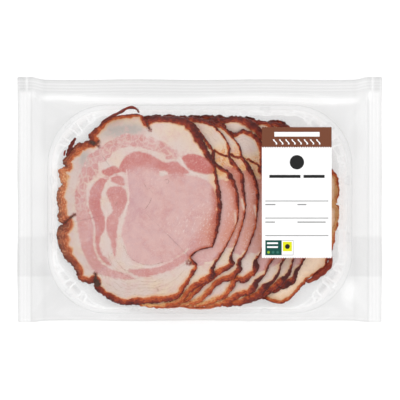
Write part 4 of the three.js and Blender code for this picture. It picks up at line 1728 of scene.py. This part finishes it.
class RoastPorkColours(bpy.types.PropertyGroup):
    film: colour("Film", "What a single sheet of film lets through", (255, 255, 255))
    tray: colour("Tray", "What the tray's plastic lets through", (254, 254, 254))
    # A darker tint for the painted shade on film and tray
    shaded_plastic: colour("Shaded plastic", "What film and tray let through where shaded", (215, 215, 215))
    tray_haze: colour("Tray haze", "The tray's milky haze", (160, 160, 160))
    pale_lean: colour("Pale lean", "Loin meat", (214, 176, 171))
    mauve_lean: colour("Mauve lean", "Loin meat with a bluish cast", (202, 164, 166))
    deep_lean: colour("Deep lean", "Reddest muscle", (192, 106, 100))
    warm_lean: colour("Warm lean", "Lean near the baked edge", (206, 142, 124))
    fat: colour("Fat", "White fat", (216, 197, 190))
    # Painted light: a lighter copy of the fat, for the lowest slice, which lies in shade
    painted_lit_fat: colour("Bright fat", "Fat of the lowest slice", (252, 226, 200))
    cream_fat: colour("Cream fat", "Fat with a yellow cast", (222, 198, 172))
    cool_fat: colour("Cool fat", "Bluish fat and sinew", (182, 172, 166))
    membrane: colour("Membrane", "Seams between the muscles", (226, 204, 198))
    layer_line: colour("Layer line", "Fine lines in the fat", (176, 140, 112))
    crack: colour("Crack", "Fine dark cracks", (140, 100, 84))
    rim_crust: colour("Rim", "Outermost crust", (88, 34, 26))
    brown_crust: colour("Brown crust", "Crust that is baked brown", (134, 42, 24))
    orange_crust: colour("Orange crust", "Crust that is baked least", (194, 90, 42))
    # Light crust and specks, partly painted highlights
    light_crust_and_glints: colour("Light specks", "Light specks on the crust", (232, 186, 142))
    amber_crust: colour("Amber crust", "Where crust turns into fat", (224, 168, 112))
    rosy_crust: colour("Rosy crust", "Where crust turns into lean", (180, 90, 68))
    dark_crust: colour("Dark crust", "Scorched crust", (76, 20, 18))
    scar: colour("Scar", "Scorched cuts left by the string", (74, 46, 34))
    paper: colour("Paper", "Label paper", (254, 254, 254))
    brown_ink: colour("Brown", "Band along the label's top", (118, 68, 46))
    black_ink: colour("Black", "Dark shapes on the label", (28, 28, 28))
    grey_ink: colour("Grey", "Rules on the label", (140, 140, 140))
    green_ink: colour("Green", "Dark field of the stamp", (0, 75, 65))
    mid_green_ink: colour("Mid green", "Dots of the stamp", (50, 112, 100))
    lime_ink: colour("Lime", "First dot of the stamp", (150, 185, 40))
    yellow_ink: colour("Yellow", "Bright field of the stamp", (230, 230, 20))
    floor: colour("Floor", "Studio floor", (203, 203, 203))


class ROASTPORK_PT_panel(bpy.types.Panel):
    bl_idname = "ROASTPORK_PT_panel"
    bl_label = "Roast pork"
    bl_space_type = "VIEW_3D"
    bl_region_type = "UI"
    bl_category = "Roast pork"

    def draw(self, context):
        for group in (sizes_of(context), colours_of(context)):
            box = self.layout.box()
            for name in group.__annotations__:
                box.prop(group, name)
        for operator in OPERATORS:
            self.layout.operator(operator.bl_idname)


OPERATORS = (
    ROASTPORK_OT_stage,
    ROASTPORK_OT_film,
    ROASTPORK_OT_tray,
    ROASTPORK_OT_slices,
    ROASTPORK_OT_label,
)
CLASSES = (RoastPorkSizes, RoastPorkColours, *OPERATORS, ROASTPORK_PT_panel)


def register():
    for made in CLASSES:
        bpy.utils.register_class(made)
    bpy.types.Scene.roast_pork_sizes = bpy.props.PointerProperty(type=RoastPorkSizes)
    bpy.types.Scene.roast_pork_colours = bpy.props.PointerProperty(type=RoastPorkColours)


def unregister():
    del bpy.types.Scene.roast_pork_colours
    del bpy.types.Scene.roast_pork_sizes
    for made in reversed(CLASSES):
        bpy.utils.unregister_class(made)


def main():
    register()
    bpy.ops.roastpork.stage()
    bpy.ops.roastpork.film()
    bpy.ops.roastpork.tray()
    bpy.ops.roastpork.slices()
    bpy.ops.roastpork.label()
    boxes = {"cad": cad_box, "visual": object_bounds()}
    {name: [list(corner) for corner in box] for name, box in boxes.items()}


if __name__ == "__main__":
    main()
